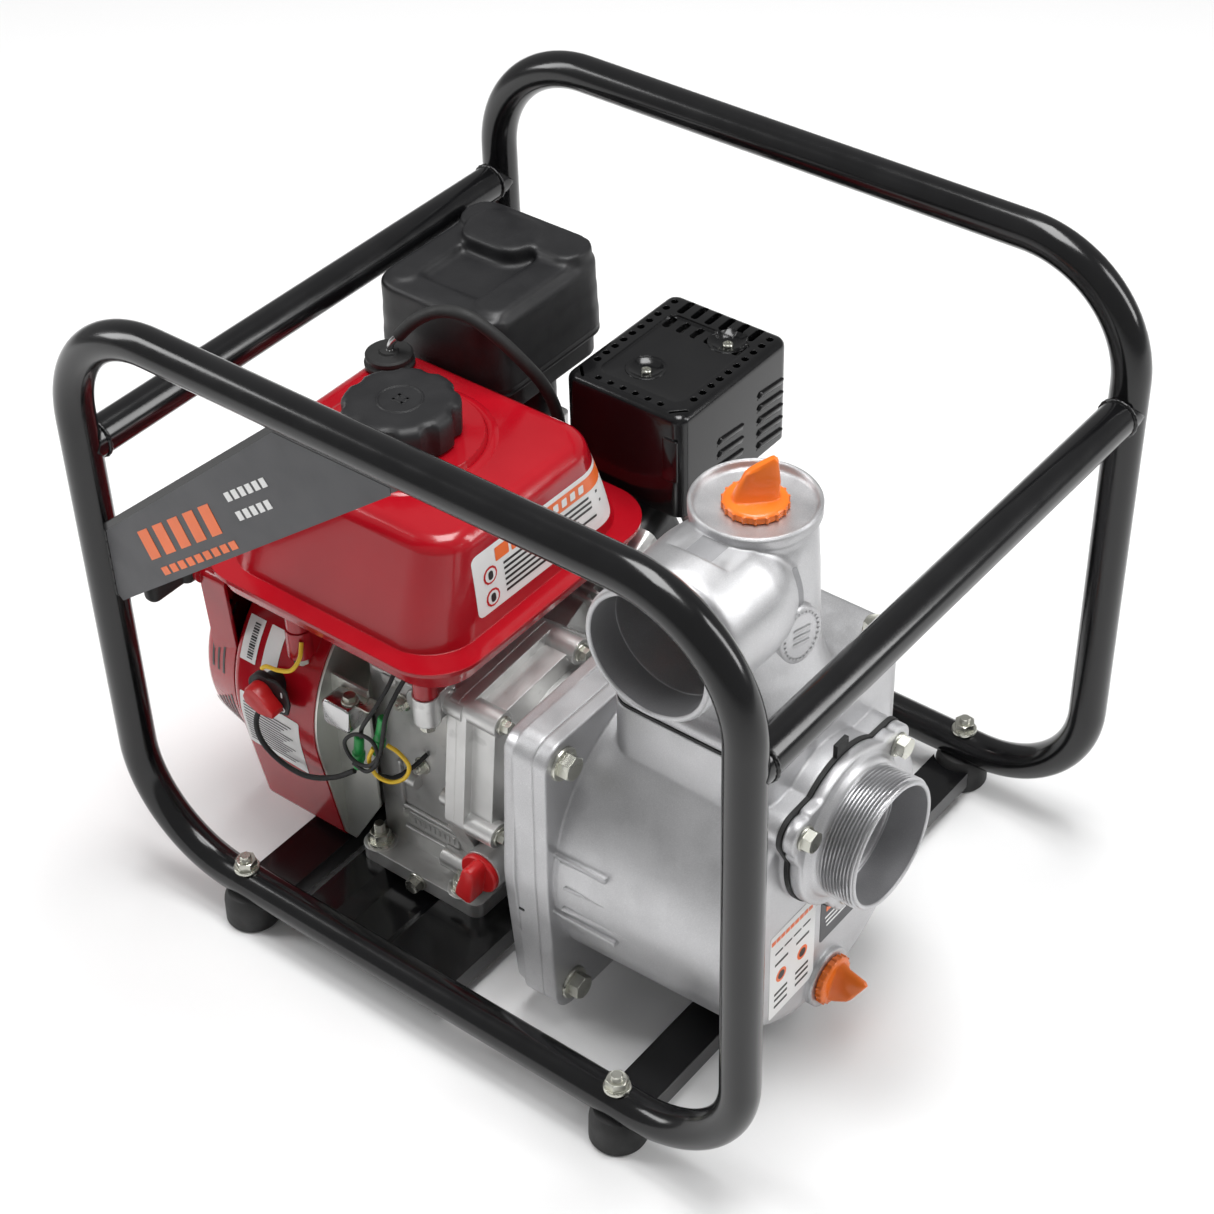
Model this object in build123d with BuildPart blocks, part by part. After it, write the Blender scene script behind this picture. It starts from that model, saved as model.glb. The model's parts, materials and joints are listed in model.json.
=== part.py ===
from build123d import *
from math import atan2, cos, degrees, pi, radians, sin, sqrt
import os

os.makedirs("parts", exist_ok=True)

# ---------------------------------------------------------------- driving dimensions (mm)
# Row frame: origin on the ground under the middle of the frame, +X from the recoil starter
# to the suction port, +Y towards the muffler, +Z up.
TUBE_R = 12.5
TUBE_WALL = 1.6
LOOP_L = 500.0
LOOP_W = 404.0
LOOP_H = 428.0
BOTTOM_Z = 33.0
TOP_Z = BOTTOM_Z + LOOP_H
BEND_R = 80.0
HALF_L = LOOP_L / 2
HALF_W = LOOP_W / 2
FOOT_X = 158.0
FOOT_R = 19.0
STUD_R = 4.0
SHEET = 2.5
DECK_Z = 24.0          # top of the floor pieces, where the engine stands

AXIS_Y = -48.0         # crankshaft and pump axis
AXIS_Z = DECK_Z + 105.5
PART_X = 65.0          # parting plane of the pump
FACE_X = 207.0         # flat front face of the pump casing
GAP = 0.1              # radial gap round fixed screws and studs
RUN = 0.06             # radial gap of running fits
SHAFT_R = 12.0         # crankshaft where it leaves the engine

DRUM_R = 109.0
DRUM_WALL = 7.0
DRAFT = 1.6
BOLT_Y = 94.0
BOLT_Z = 97.0
PORT_Z = 186.0         # suction port height
PORT_R = 44.0
PORT_BORE = 39.5
MOUTH_X = 251.5
ELBOW_X = 147.0
PAD_Z = 258.0          # top of the casing's discharge pad
SPOUT_Z = 354.0        # discharge port height
SPOUT_Y = -152.0       # discharge mouth
NECK_Z = 401.0         # rim of the priming neck
NECK_R = 38.5
PLUG_R = 17.0
FLAP_X = FACE_X + 2.0  # hinge pin of the suction flap
FLAP_Z = PORT_Z + 37.0

TILT = 25.0            # cylinder above horizontal
CYL_X = -70.0
PTO_X = 14.0           # face the pump adapter bolts to
COVER_X = -28.0        # joint between crankcase and its side cover
CASE_X = -112.0        # recoil-side wall of the crankcase
FAN_X = (-215.0, -139.0)
FAN_R = 96.0
DOME_X = -250.0
TANK_Z = (226.0, 243.0, 318.0)   # underside, rim, top
CAP_XY = (-133.0, -40.0)
GUIDE_Y = -132.0       # rope guide of the starter
GUIDE_Z = 220.0
ROPE_R = 2.5
KNOB_XZ = (-174.0, 159.0)
AIR_BOX = (-233.0, -127.0, 47.0, 164.0)
GUARD_BOX = (-100.0, -2.0, 82.0, 205.0)
GUARD_Z = (235.0, 315.0)
GUARD_SCREWS = [(-60.0, 121.0), (-34.0, 178.0)]
SPARK_YZ = (87.0, 168.0)
PIPE_YZ = (66.0, 200.0)
BORE_R = 34.0
COS_T = cos(radians(TILT))
SIN_T = sin(radians(TILT))


def save(part, name):
    """Label a finished piece and write its file."""
    part.label = name
    export_step(part, f"parts/{name}.step")


def across_x(x):
    """Sketch plane square to the crankshaft: local axes are Y and Z."""
    return Plane.YZ.offset(x)


def on_axis(x):
    """Sketch plane square to the crankshaft with its local origin on the crank and pump axis."""
    return Plane(origin=(x, AXIS_Y, AXIS_Z), x_dir=(0, 1, 0), z_dir=(1, 0, 0))


def turned(x, y, z, angle):
    """Sketch plane facing +X with its origin on (y, z), turned about X by an angle in degrees."""
    return Plane(origin=(x, y, z), x_dir=(0, cos(radians(angle)), sin(radians(angle))), z_dir=(1, 0, 0))


def facing_near(y):
    """Sketch plane facing the near side, -Y: local axes are X and Z."""
    return Plane(origin=(0, y, 0), x_dir=(1, 0, 0), z_dir=(0, -1, 0))


def hex_bolts(plane, spots, flats, head, shank_r, length, washer_r=0.0, washer=1.6):
    """Identical hexagon bolts standing on one plane, as separate solids."""
    with BuildPart() as bolts:
        with Locations(plane):
            with Locations(*spots):
                if washer_r:
                    Cylinder(washer_r, washer, align=(Align.CENTER, Align.CENTER, Align.MIN))
                Cylinder(shank_r, length, align=(Align.CENTER, Align.CENTER, Align.MAX))
        with BuildSketch(plane.offset(washer if washer_r else 0)):
            with Locations(*spots):
                RegularPolygon(flats / 2, 6, major_radius=False)
        extrude(amount=head)
    return bolts.part


def tube_section(origin, direction):
    """Ring section of the frame tube, square to the direction."""
    with BuildSketch(Plane(origin=origin, z_dir=direction)) as section:
        Circle(TUBE_R)
        Circle(TUBE_R - TUBE_WALL, mode=Mode.SUBTRACT)
    return section.sketch


def side_loop(name, side):
    """One tube loop: four straight runs and its corners in thirds, laid face to face, with stud holes."""
    y = side * HALF_W
    half_run = HALF_L - BEND_R
    low, high = BOTTOM_Z + BEND_R, TOP_Z - BEND_R
    solids = []
    runs = [((-half_run, BOTTOM_Z), (1, 0), 2 * half_run), ((-half_run, TOP_Z), (1, 0), 2 * half_run),
            ((-HALF_L, low), (0, 1), high - low), ((HALF_L, low), (0, 1), high - low)]
    for (x, z), (along_x, along_z), length in runs:
        with BuildPart() as run:
            extrude(tube_section((x, y, z), (along_x, 0, along_z)), amount=length)
            with Locations((FOOT_X, y, BOTTOM_Z), (-FOOT_X, y, BOTTOM_Z)):
                Cylinder(STUD_R + GAP, 3 * TUBE_R, mode=Mode.SUBTRACT)
        solids += run.part.solids()
    for x, z, start in ((half_run, low, 270), (half_run, high, 0), (-half_run, high, 90), (-half_run, low, 180)):
        for third in range(3):
            angle = radians(start + 30 * third)
            origin = (x + BEND_R * cos(angle), y, z + BEND_R * sin(angle))
            section = tube_section(origin, (-sin(angle), 0, cos(angle)))
            with BuildPart() as bend:
                revolve(section, axis=Axis((x, y, z), (0, -1, 0)), revolution_arc=30)
            solids += bend.part.solids()
    save(Compound(solids), name)


def crossbar(name, x, z):
    """Straight tube between the uprights, its ends coped to fit them."""
    with BuildPart() as bar:
        with BuildSketch(Plane.XZ):
            with Locations((x, z)):
                Circle(TUBE_R)
                Circle(TUBE_R - TUBE_WALL, mode=Mode.SUBTRACT)
        extrude(amount=HALF_W, both=True)
        with Locations((x, HALF_W, z), (x, -HALF_W, z)):
            Cylinder(TUBE_R + 0.05, 4 * TUBE_R, mode=Mode.SUBTRACT)
    save(bar.part, name)


def cut_round_tubes():
    """Cut away the lower tubes and the feet from a floor piece."""
    with Locations((0, HALF_W, BOTTOM_Z), (0, -HALF_W, BOTTOM_Z)):
        Cylinder(TUBE_R + 0.05, 2 * LOOP_L, rotation=(0, 90, 0), mode=Mode.SUBTRACT)
    with GridLocations(2 * FOOT_X, LOOP_W, 2, 2):
        Cylinder(FOOT_R + 1.0, 4 * FOOT_R, mode=Mode.SUBTRACT)


def channel(name, x_min, x_max, top, lip):
    """Inverted pressed channel welded between the lower tubes."""
    with BuildPart() as piece:
        with BuildSketch(Plane.XZ.offset(-HALF_W)):
            with BuildLine():
                Polyline((x_min, top), (x_max, top), (x_max, top - lip), (x_max - SHEET, top - lip),
                         (x_max - SHEET, top - SHEET), (x_min + SHEET, top - SHEET),
                         (x_min + SHEET, top - lip), (x_min, top - lip), (x_min, top))
            make_face()
        extrude(amount=LOOP_W)
        cut_round_tubes()
    save(piece.part, name)


STUD_XS = (-109.0, -34.0)                    # engine mounting studs
STUD_YS = (-122.0, 43.0)
ENGINE_STUDS = [(x, y) for x in STUD_XS for y in STUD_YS]


def engine_plate():
    """Wide pressed floor plate: two standing strips with a trough between them."""
    top, low, lip = DECK_Z, DECK_Z - 9, DECK_Z - 15
    left, right = -121.0, 8.0
    dip_a, dip_b, dip_c, dip_d = -98.0, -88.0, -58.0, -48.0
    outline = [(left, top), (dip_a, top), (dip_b, low), (dip_c, low), (dip_d, top), (right, top), (right, lip),
               (right - SHEET, lip), (right - SHEET, top - SHEET), (dip_d, top - SHEET), (dip_c, low - SHEET),
               (dip_b, low - SHEET), (dip_a, top - SHEET), (left + SHEET, top - SHEET), (left + SHEET, lip),
               (left, lip), (left, top)]
    with BuildPart() as plate:
        with BuildSketch(Plane.XZ.offset(-HALF_W)):
            with BuildLine():
                Polyline(*outline)
            make_face()
        extrude(amount=LOOP_W)
        cut_round_tubes()
        with Locations(*[(x, y, DECK_Z) for x, y in ENGINE_STUDS]):
            Cylinder(STUD_R + GAP, 30, mode=Mode.SUBTRACT)
    save(plate.part, "engine_plate")


def label_plate():
    """Gusset sheet across the upper recoil-end corner of the near loop."""
    inner = TUBE_R - 3.0
    left = -HALF_L + inner
    top = TOP_Z - inner
    with BuildPart() as plate:
        with BuildSketch(Plane.XZ.offset(HALF_W + 2.0)):
            with BuildLine():
                Polyline((left, 244), (left, 303), (-72, top), (24, top), (24, top - 3), (left, 244))
            make_face()
        extrude(amount=2.0)
        with Locations((-HALF_L, -HALF_W, BOTTOM_Z + LOOP_H / 2)):
            Cylinder(TUBE_R + 0.05, LOOP_H, mode=Mode.SUBTRACT)
        with Locations((0, -HALF_W, TOP_Z)):
            Cylinder(TUBE_R + 0.05, LOOP_L, rotation=(0, 90, 0), mode=Mode.SUBTRACT)
    save(plate.part, "label_plate")


def feet():
    """Rubber feet under the lower tubes, and the studs and nuts that hold them."""
    spots = [(sx * FOOT_X, sy * HALF_W) for sx in (1, -1) for sy in (1, -1)]
    recess = 9.0
    with BuildPart() as pads:
        with BuildSketch():
            with Locations(*spots):
                Circle(FOOT_R)
        extrude(amount=BOTTOM_Z - 6, taper=1.5)
        with BuildSketch(Plane.XY):
            with Locations(*spots):
                Circle(recess)
        extrude(amount=6, mode=Mode.SUBTRACT)
        with BuildSketch(Plane.XY):
            with Locations(*spots):
                Circle(STUD_R + GAP)
        extrude(amount=BOTTOM_Z, mode=Mode.SUBTRACT)
        with Locations((0, HALF_W, BOTTOM_Z), (0, -HALF_W, BOTTOM_Z)):
            Cylinder(TUBE_R + 0.05, 2 * LOOP_L, rotation=(0, 90, 0), mode=Mode.SUBTRACT)
    save(pads.part, "rubber_feet")
    top = BOTTOM_Z + TUBE_R
    with BuildPart() as studs:
        with Locations(*[(x, y, 2.5) for x, y in spots]):
            Cylinder(7.5, 3.4, align=(Align.CENTER, Align.CENTER, Align.MIN))
            Cylinder(STUD_R, top + 9.5, align=(Align.CENTER, Align.CENTER, Align.MIN))
        with Locations(*[(x, y, top + 0.05) for x, y in spots]):
            Cylinder(9.0, 2.0, align=(Align.CENTER, Align.CENTER, Align.MIN))
        with BuildSketch(Plane.XY.offset(top + 2)):
            with Locations(*spots):
                RegularPolygon(6.5, 6, major_radius=False)
        extrude(amount=6)
    save(studs.part, "foot_bolts")


def build_frame():
    side_loop("side_loop_near", -1)
    side_loop("side_loop_far", 1)
    crossbar("crossbar_front", HALF_L, 362.0)
    crossbar("crossbar_rear", -HALF_L, 357.0)
    channel("front_channel", 142.0, 172.0, DECK_Z - 2, 14.0)
    channel("rear_channel", -171.0, -136.0, DECK_Z, 15.0)
    engine_plate()
    label_plate()
    feet()


# ---------------------------------------------------------------- pump
CORNERS = [(AXIS_Y + sy * BOLT_Y, AXIS_Z + sz * BOLT_Z) for sy in (1, -1) for sz in (1, -1)]


def flange_outline(corner_r=17.0, middle_r=114.0):
    """Square outline with bulging sides and a round ear at each bolt."""
    with Locations(*CORNERS):
        Circle(corner_r)
    with Locations((AXIS_Y, AXIS_Z)):
        Circle(middle_r)
    make_hull()


def pump_adapter():
    """Cast plate between the engine's shaft side and the pump, hollow behind, with a hub round the shaft."""
    back = 40.0
    with BuildPart() as adapter:
        with BuildSketch(across_x(back)):
            flange_outline(13.0)
        extrude(amount=10, taper=-12)
        with BuildSketch(across_x(back + 9)):
            flange_outline()
        extrude(amount=PART_X - back - 9)
        with BuildSketch(across_x(back)):
            with Locations((AXIS_Y, AXIS_Z)):
                Circle(100)
                Circle(58, mode=Mode.SUBTRACT)
        extrude(amount=14, mode=Mode.SUBTRACT)
        with BuildSketch(across_x(PTO_X)):
            with Locations((AXIS_Y, AXIS_Z)):
                Circle(62)
        extrude(amount=back - PTO_X)
        with BuildSketch(across_x(PTO_X)):
            with Locations((AXIS_Y, AXIS_Z)):
                Circle(50)
        extrude(amount=32, mode=Mode.SUBTRACT)
        with BuildSketch(across_x(0)):
            with Locations((AXIS_Y, AXIS_Z)):
                Circle(21)
            with Locations(*CORNERS):
                Circle(5 + GAP)
        extrude(amount=2 * PART_X, mode=Mode.SUBTRACT)
    save(adapter.part, "pump_adapter")


SUCTION_BOLTS = [(AXIS_Y + 58 * cos(radians(a)), PORT_Z + 58 * sin(radians(a))) for a in (30, 150, 270)]


def suction_outline(body_r=54.0, lobe_r=13.0):
    """Round flange outline with three bolt lobes."""
    with Locations((AXIS_Y, PORT_Z)):
        Circle(body_r)
    for spot in SUCTION_BOLTS:
        with BuildSketch(mode=Mode.PRIVATE) as lobe:
            with Locations((AXIS_Y, PORT_Z)):
                Circle(body_r - 10)
            with Locations(spot):
                Circle(lobe_r)
            make_hull()
        add(lobe.sketch)


PAD_X = (82.0, 198.0)
PAD_Y = (-108.0, 44.0)
PAD_MID = (sum(PAD_X) / 2, sum(PAD_Y) / 2)
PAD_BOLTS = [(PAD_MID[0] + sx * 44, PAD_MID[1] + sy * 61) for sx in (1, -1) for sy in (1, -1)]
DRAIN_Z = 43.0


def pump_casing():
    """Drum-shaped casing: rear flange, flat front with suction seat and drain boss, discharge pad on top."""
    flange = 10.0
    with BuildPart() as casing:
        with BuildSketch(across_x(PART_X)):
            flange_outline()
        extrude(amount=flange)
        with BuildSketch(across_x(PART_X)):
            with Locations((AXIS_Y, AXIS_Z)):
                Circle(DRUM_R)
        extrude(amount=FACE_X - PART_X, taper=DRAFT)
        front = casing.edges().filter_by(GeomType.CIRCLE).sort_by(Axis.X)[-1]
        fillet(front, 12)
        with BuildSketch(Plane.XY.offset(AXIS_Z)):
            with Locations(PAD_MID):
                RectangleRounded(PAD_X[1] - PAD_X[0], PAD_Y[1] - PAD_Y[0], 16)
        extrude(amount=PAD_Z - AXIS_Z)
        with BuildSketch(across_x(FACE_X - 14)):
            suction_outline()
        extrude(amount=17)
        with BuildSketch(across_x(FACE_X - 14)):
            with Locations((AXIS_Y, DRAIN_Z)):
                Circle(21)
        extrude(amount=18)
        # ears behind the corner bolts and the draft ribs along the near side
        with BuildSketch(Plane.XY.offset(AXIS_Z - 20)):
            with Locations((PART_X + 32, AXIS_Y - DRUM_R + 2)):
                Rectangle(52, 5)
        extrude(amount=3)
        with BuildSketch(Plane.XY.offset(AXIS_Z + 28)):
            with Locations((PART_X + 28, AXIS_Y - DRUM_R + 5)):
                Rectangle(44, 6)
        extrude(amount=3)
        # hollows
        with BuildSketch(across_x(PART_X)):
            with Locations((AXIS_Y, AXIS_Z)):
                Circle(DRUM_R - DRUM_WALL)
        extrude(amount=FACE_X - DRUM_WALL - PART_X, taper=DRAFT, mode=Mode.SUBTRACT)
        with BuildSketch(Plane.XY.offset(AXIS_Z)):
            with Locations((ELBOW_X, AXIS_Y)):
                Circle(36)
        extrude(amount=PAD_Z, mode=Mode.SUBTRACT)
        with BuildSketch(across_x(FACE_X - 20)):
            with Locations((AXIS_Y, PORT_Z)):
                Circle(43)
        extrude(amount=40, mode=Mode.SUBTRACT)
        with BuildSketch(across_x(FACE_X - 20)):
            with Locations((AXIS_Y, DRAIN_Z)):
                Circle(12.5)
            with Locations(*SUCTION_BOLTS):
                Circle(4 + GAP)
        extrude(amount=40, mode=Mode.SUBTRACT)
        with BuildSketch(across_x(0)):
            with Locations(*CORNERS):
                Circle(5 + GAP)
        extrude(amount=2 * PART_X, mode=Mode.SUBTRACT)
        with BuildSketch(Plane.XY.offset(PAD_Z - 22)):
            with Locations(*PAD_BOLTS):
                Circle(4 + GAP)
        extrude(amount=40, mode=Mode.SUBTRACT)
    save(casing.part, "pump_casing")


def volute():
    """Insert round the impeller, held inside the casing against the adapter."""
    with BuildPart() as piece:
        with BuildSketch(across_x(PART_X + 1)):
            with Locations((AXIS_Y, AXIS_Z)):
                Circle(86)
                Circle(78, mode=Mode.SUBTRACT)
        extrude(amount=48)
        with BuildSketch(across_x(PART_X + 43)):
            with Locations((AXIS_Y, AXIS_Z)):
                Circle(82)
                Circle(34, mode=Mode.SUBTRACT)
        extrude(amount=6)
        with BuildSketch(across_x(PART_X + 43)):
            with Locations((AXIS_Y, AXIS_Z)):
                Circle(40)
                Circle(34, mode=Mode.SUBTRACT)
        extrude(amount=22)
        with BuildSketch(Plane.XY.offset(AXIS_Z)):
            with Locations((PART_X + 24, AXIS_Y - 40)):
                Rectangle(30, 40)
        extrude(amount=100, mode=Mode.SUBTRACT)
    save(piece.part, "volute")


def impeller():
    """Open two-vane trash impeller on the shaft end."""
    back = PART_X + 12
    with BuildPart() as wheel:
        with BuildSketch(on_axis(back)):
            Circle(70)
        extrude(amount=6)
        with BuildSketch(on_axis(back)):
            Circle(20)
        extrude(amount=18)
        for turn in (0, 180):
            with BuildSketch(turned(back + 5, AXIS_Y, AXIS_Z, turn)):
                with BuildLine():
                    ThreePointArc((14, 4), (48, 22), (62, -18))
                    Line((62, -18), (54, -18))
                    ThreePointArc((54, -18), (44, 14), (14, -6))
                    Line((14, -6), (14, 4))
                make_face()
            extrude(amount=20)
        with BuildSketch(on_axis(back - 1)):
            Circle(SHAFT_R)
        extrude(amount=40, mode=Mode.SUBTRACT)
    save(wheel.part, "impeller")


def shaft_seal():
    """Mechanical seal seated in the adapter."""
    with BuildPart() as seal:
        with BuildSketch(across_x(PART_X - 16)):
            with Locations((AXIS_Y, AXIS_Z)):
                Circle(20.9)
                Circle(13, mode=Mode.SUBTRACT)
        extrude(amount=15)
    save(seal.part, "shaft_seal")


def suction_port():
    """Threaded suction connector, its gasket and the flap valve that closes against it."""
    seat = FACE_X + 3.0
    gasket = 3.0
    plate = 8.0
    with BuildPart() as ring:
        with BuildSketch(across_x(seat)):
            suction_outline(55.0, 14.0)
            with Locations((AXIS_Y, PORT_Z + 57)):
                Rectangle(12, 14)
            with Locations((AXIS_Y, PORT_Z)):
                Circle(42.5, mode=Mode.SUBTRACT)
            with Locations(*SUCTION_BOLTS):
                Circle(4 + GAP, mode=Mode.SUBTRACT)
        extrude(amount=gasket)
    save(ring.part, "suction_gasket")
    face = seat + gasket
    with BuildPart() as port:
        with BuildSketch(across_x(face)):
            suction_outline()
        extrude(amount=plate)
        with BuildSketch(across_x(face)):
            with Locations((AXIS_Y, PORT_Z)):
                Circle(47)
        extrude(amount=plate + 3)
        with BuildSketch(across_x(face)):
            with Locations((AXIS_Y, PORT_Z)):
                Circle(PORT_R)
        extrude(amount=MOUTH_X - face)
        chamfer(port.edges().filter_by(GeomType.CIRCLE).sort_by(Axis.X)[-1], 1.5)
        with BuildSketch(across_x(face)):
            with Locations((AXIS_Y, PORT_Z)):
                Circle(33)
            with Locations(*SUCTION_BOLTS):
                Circle(4 + GAP)
        extrude(amount=60, mode=Mode.SUBTRACT)
        with BuildSketch(across_x(face + 5)):
            with Locations((AXIS_Y, PORT_Z)):
                Circle(PORT_BORE)
        extrude(amount=60, mode=Mode.SUBTRACT)
    save(port.part, "suction_flange")
    save(hex_bolts(across_x(face + plate), SUCTION_BOLTS, 13.0, 6.0, 4.0, 22.0, 8.0), "suction_bolts")
    with BuildPart() as flap:
        with BuildSketch(across_x(face - 4.1)):
            with Locations((AXIS_Y, PORT_Z - 3)):
                Circle(37)
        extrude(amount=4)
        with BuildSketch(across_x(face - 5.5)):
            with Locations((AXIS_Y, FLAP_Z - 4)):
                Rectangle(24, 11)
        extrude(amount=4)
        with Locations((FLAP_X, AXIS_Y, FLAP_Z)):
            Cylinder(2.4, 28, rotation=(90, 0, 0))
    save(flap.part, "flap_valve")


def discharge():
    """Discharge elbow: pad flange, bulb, threaded spout to the near side and the priming neck on top."""
    seat = PAD_Z + 2.0
    plate = 9.0
    with BuildPart() as ring:
        with BuildSketch(Plane.XY.offset(PAD_Z)):
            with Locations(PAD_MID):
                RectangleRounded(PAD_X[1] - PAD_X[0] - 1, PAD_Y[1] - PAD_Y[0] - 1, 16)
            with Locations((ELBOW_X, AXIS_Y)):
                Circle(38, mode=Mode.SUBTRACT)
            with Locations(*PAD_BOLTS):
                Circle(4 + GAP, mode=Mode.SUBTRACT)
        extrude(amount=2)
    save(ring.part, "elbow_gasket")
    lower = [(0, seat), (52, seat), (47, seat + 22), (43, SPOUT_Z - 50)]
    upper = [(48, SPOUT_Z - 22), (46, SPOUT_Z + 8), (40, NECK_Z - 20), (NECK_R, NECK_Z - 14), (NECK_R, NECK_Z), (0, NECK_Z)]
    with BuildPart() as body:
        with BuildSketch(Plane.XY.offset(seat)):
            with Locations(PAD_MID):
                RectangleRounded(PAD_X[1] - PAD_X[0], PAD_Y[1] - PAD_Y[0], 16)
        extrude(amount=plate)
        with BuildSketch(Plane(origin=(ELBOW_X, AXIS_Y, 0), x_dir=(1, 0, 0), z_dir=(0, -1, 0))):
            with BuildLine():
                Polyline(*lower)
                Spline(lower[-1], *upper[:4])
                Polyline(*upper[3:])
                Line(upper[-1], lower[0])
            make_face()
        revolve(axis=Axis((ELBOW_X, AXIS_Y, 0), (0, 0, 1)))
        with BuildSketch(facing_near(AXIS_Y)):
            with Locations((ELBOW_X, SPOUT_Z)):
                Circle(46)
        extrude(amount=AXIS_Y - SPOUT_Y - 36)
        with BuildSketch(facing_near(AXIS_Y)):
            with Locations((ELBOW_X, SPOUT_Z)):
                Circle(PORT_R)
        extrude(amount=AXIS_Y - SPOUT_Y)
        chamfer(body.edges().filter_by(GeomType.CIRCLE).sort_by(Axis.Y)[0], 1.5)
        with BuildSketch(facing_near(AXIS_Y - 10)):
            with Locations((ELBOW_X, SPOUT_Z)):
                Circle(PORT_BORE)
        extrude(amount=200, mode=Mode.SUBTRACT)
        with BuildSketch(facing_near(AXIS_Y - 11)):
            with Locations((ELBOW_X, SPOUT_Z)):
                Circle(34)
        extrude(amount=-16, mode=Mode.SUBTRACT)
        with BuildSketch(Plane.XY.offset(seat)):
            with Locations((ELBOW_X, AXIS_Y)):
                Circle(36)
        extrude(amount=SPOUT_Z - seat - 10, mode=Mode.SUBTRACT)
        with BuildSketch(Plane.XY.offset(SPOUT_Z - 11)):
            with Locations((ELBOW_X, AXIS_Y)):
                Circle(33)
        extrude(amount=32, mode=Mode.SUBTRACT)
        with BuildSketch(Plane.XY.offset(NECK_Z - 40)):
            with Locations((ELBOW_X, AXIS_Y)):
                Circle(PLUG_R)
        extrude(amount=60, mode=Mode.SUBTRACT)
        with BuildSketch(Plane.XY.offset(NECK_Z - 5)):
            with Locations((ELBOW_X, AXIS_Y)):
                Circle(33)
        extrude(amount=10, mode=Mode.SUBTRACT)
        with BuildSketch(Plane.XY.offset(seat - 1)):
            with Locations(*PAD_BOLTS):
                Circle(4 + GAP)
        extrude(amount=plate + 20, mode=Mode.SUBTRACT)
    save(body.part, "discharge_elbow")
    save(hex_bolts(Plane.XY.offset(seat + plate), PAD_BOLTS, 13.0, 6.0, 4.0, 30.0, 8.0), "elbow_bolts")


def grip_plug(name, plane, thread_r, depth, disc_r, grip_l, grip_h, lean):
    """Moulded screw plug: threaded shank, disc and a leaning wedge grip."""
    with BuildPart() as plug:
        with BuildSketch(plane):
            Circle(thread_r)
        extrude(amount=-depth)
        with BuildSketch(plane):
            Circle(disc_r)
        extrude(amount=6)
        with BuildSketch(plane.offset(5)):
            SlotOverall(grip_l, 11)
        with BuildSketch(plane.offset(5 + grip_h)):
            with Locations((0, lean)):
                SlotOverall(grip_l - 6, 8)
        loft()
    save(plug.part, name)


def build_pump():
    pump_adapter()
    pump_casing()
    volute()
    impeller()
    shaft_seal()
    suction_port()
    discharge()
    top = Plane(origin=(ELBOW_X, AXIS_Y, NECK_Z - 5), x_dir=(1, 1, 0), z_dir=(0, 0, 1))
    grip_plug("priming_plug", top, PLUG_R - RUN, 16, 24.0, 34, 26, 3)
    front = Plane(origin=(FACE_X + 4, AXIS_Y, DRAIN_Z), x_dir=(0, 0.5, 1), z_dir=(1, 0, 0))
    grip_plug("drain_plug", front, 12.5 - RUN, 18, 17.0, 30, 16, 0)
    save(hex_bolts(across_x(PART_X + 10), CORNERS, 16.0, 7.0, 5.0, 26.0, 10.0, 2.0), "casing_bolts")



# ---------------------------------------------------------------- engine
COVER_BOLTS = [(-113, 197), (-124, 108), (-100, 50), (-34, 203), (20, 150), (16, 46)]
CAM_Y = AXIS_Y - 20.0
CAM_Z = AXIS_Z - sqrt(45.0 ** 2 - 20.0 ** 2)
WEB_R = 35.0


def along_cylinder(distance):
    """Sketch plane square to the tilted cylinder, its local Y pointing up."""
    origin = (CYL_X, AXIS_Y + distance * COS_T, AXIS_Z + distance * SIN_T)
    return Plane(origin=origin, x_dir=(-1, 0, 0), z_dir=(0, COS_T, SIN_T))


def flange_hull(radius):
    """Outline of the joint between crankcase and side cover: a lobe round every bolt."""
    with Locations(*COVER_BOLTS):
        Circle(radius)
    make_hull()


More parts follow.
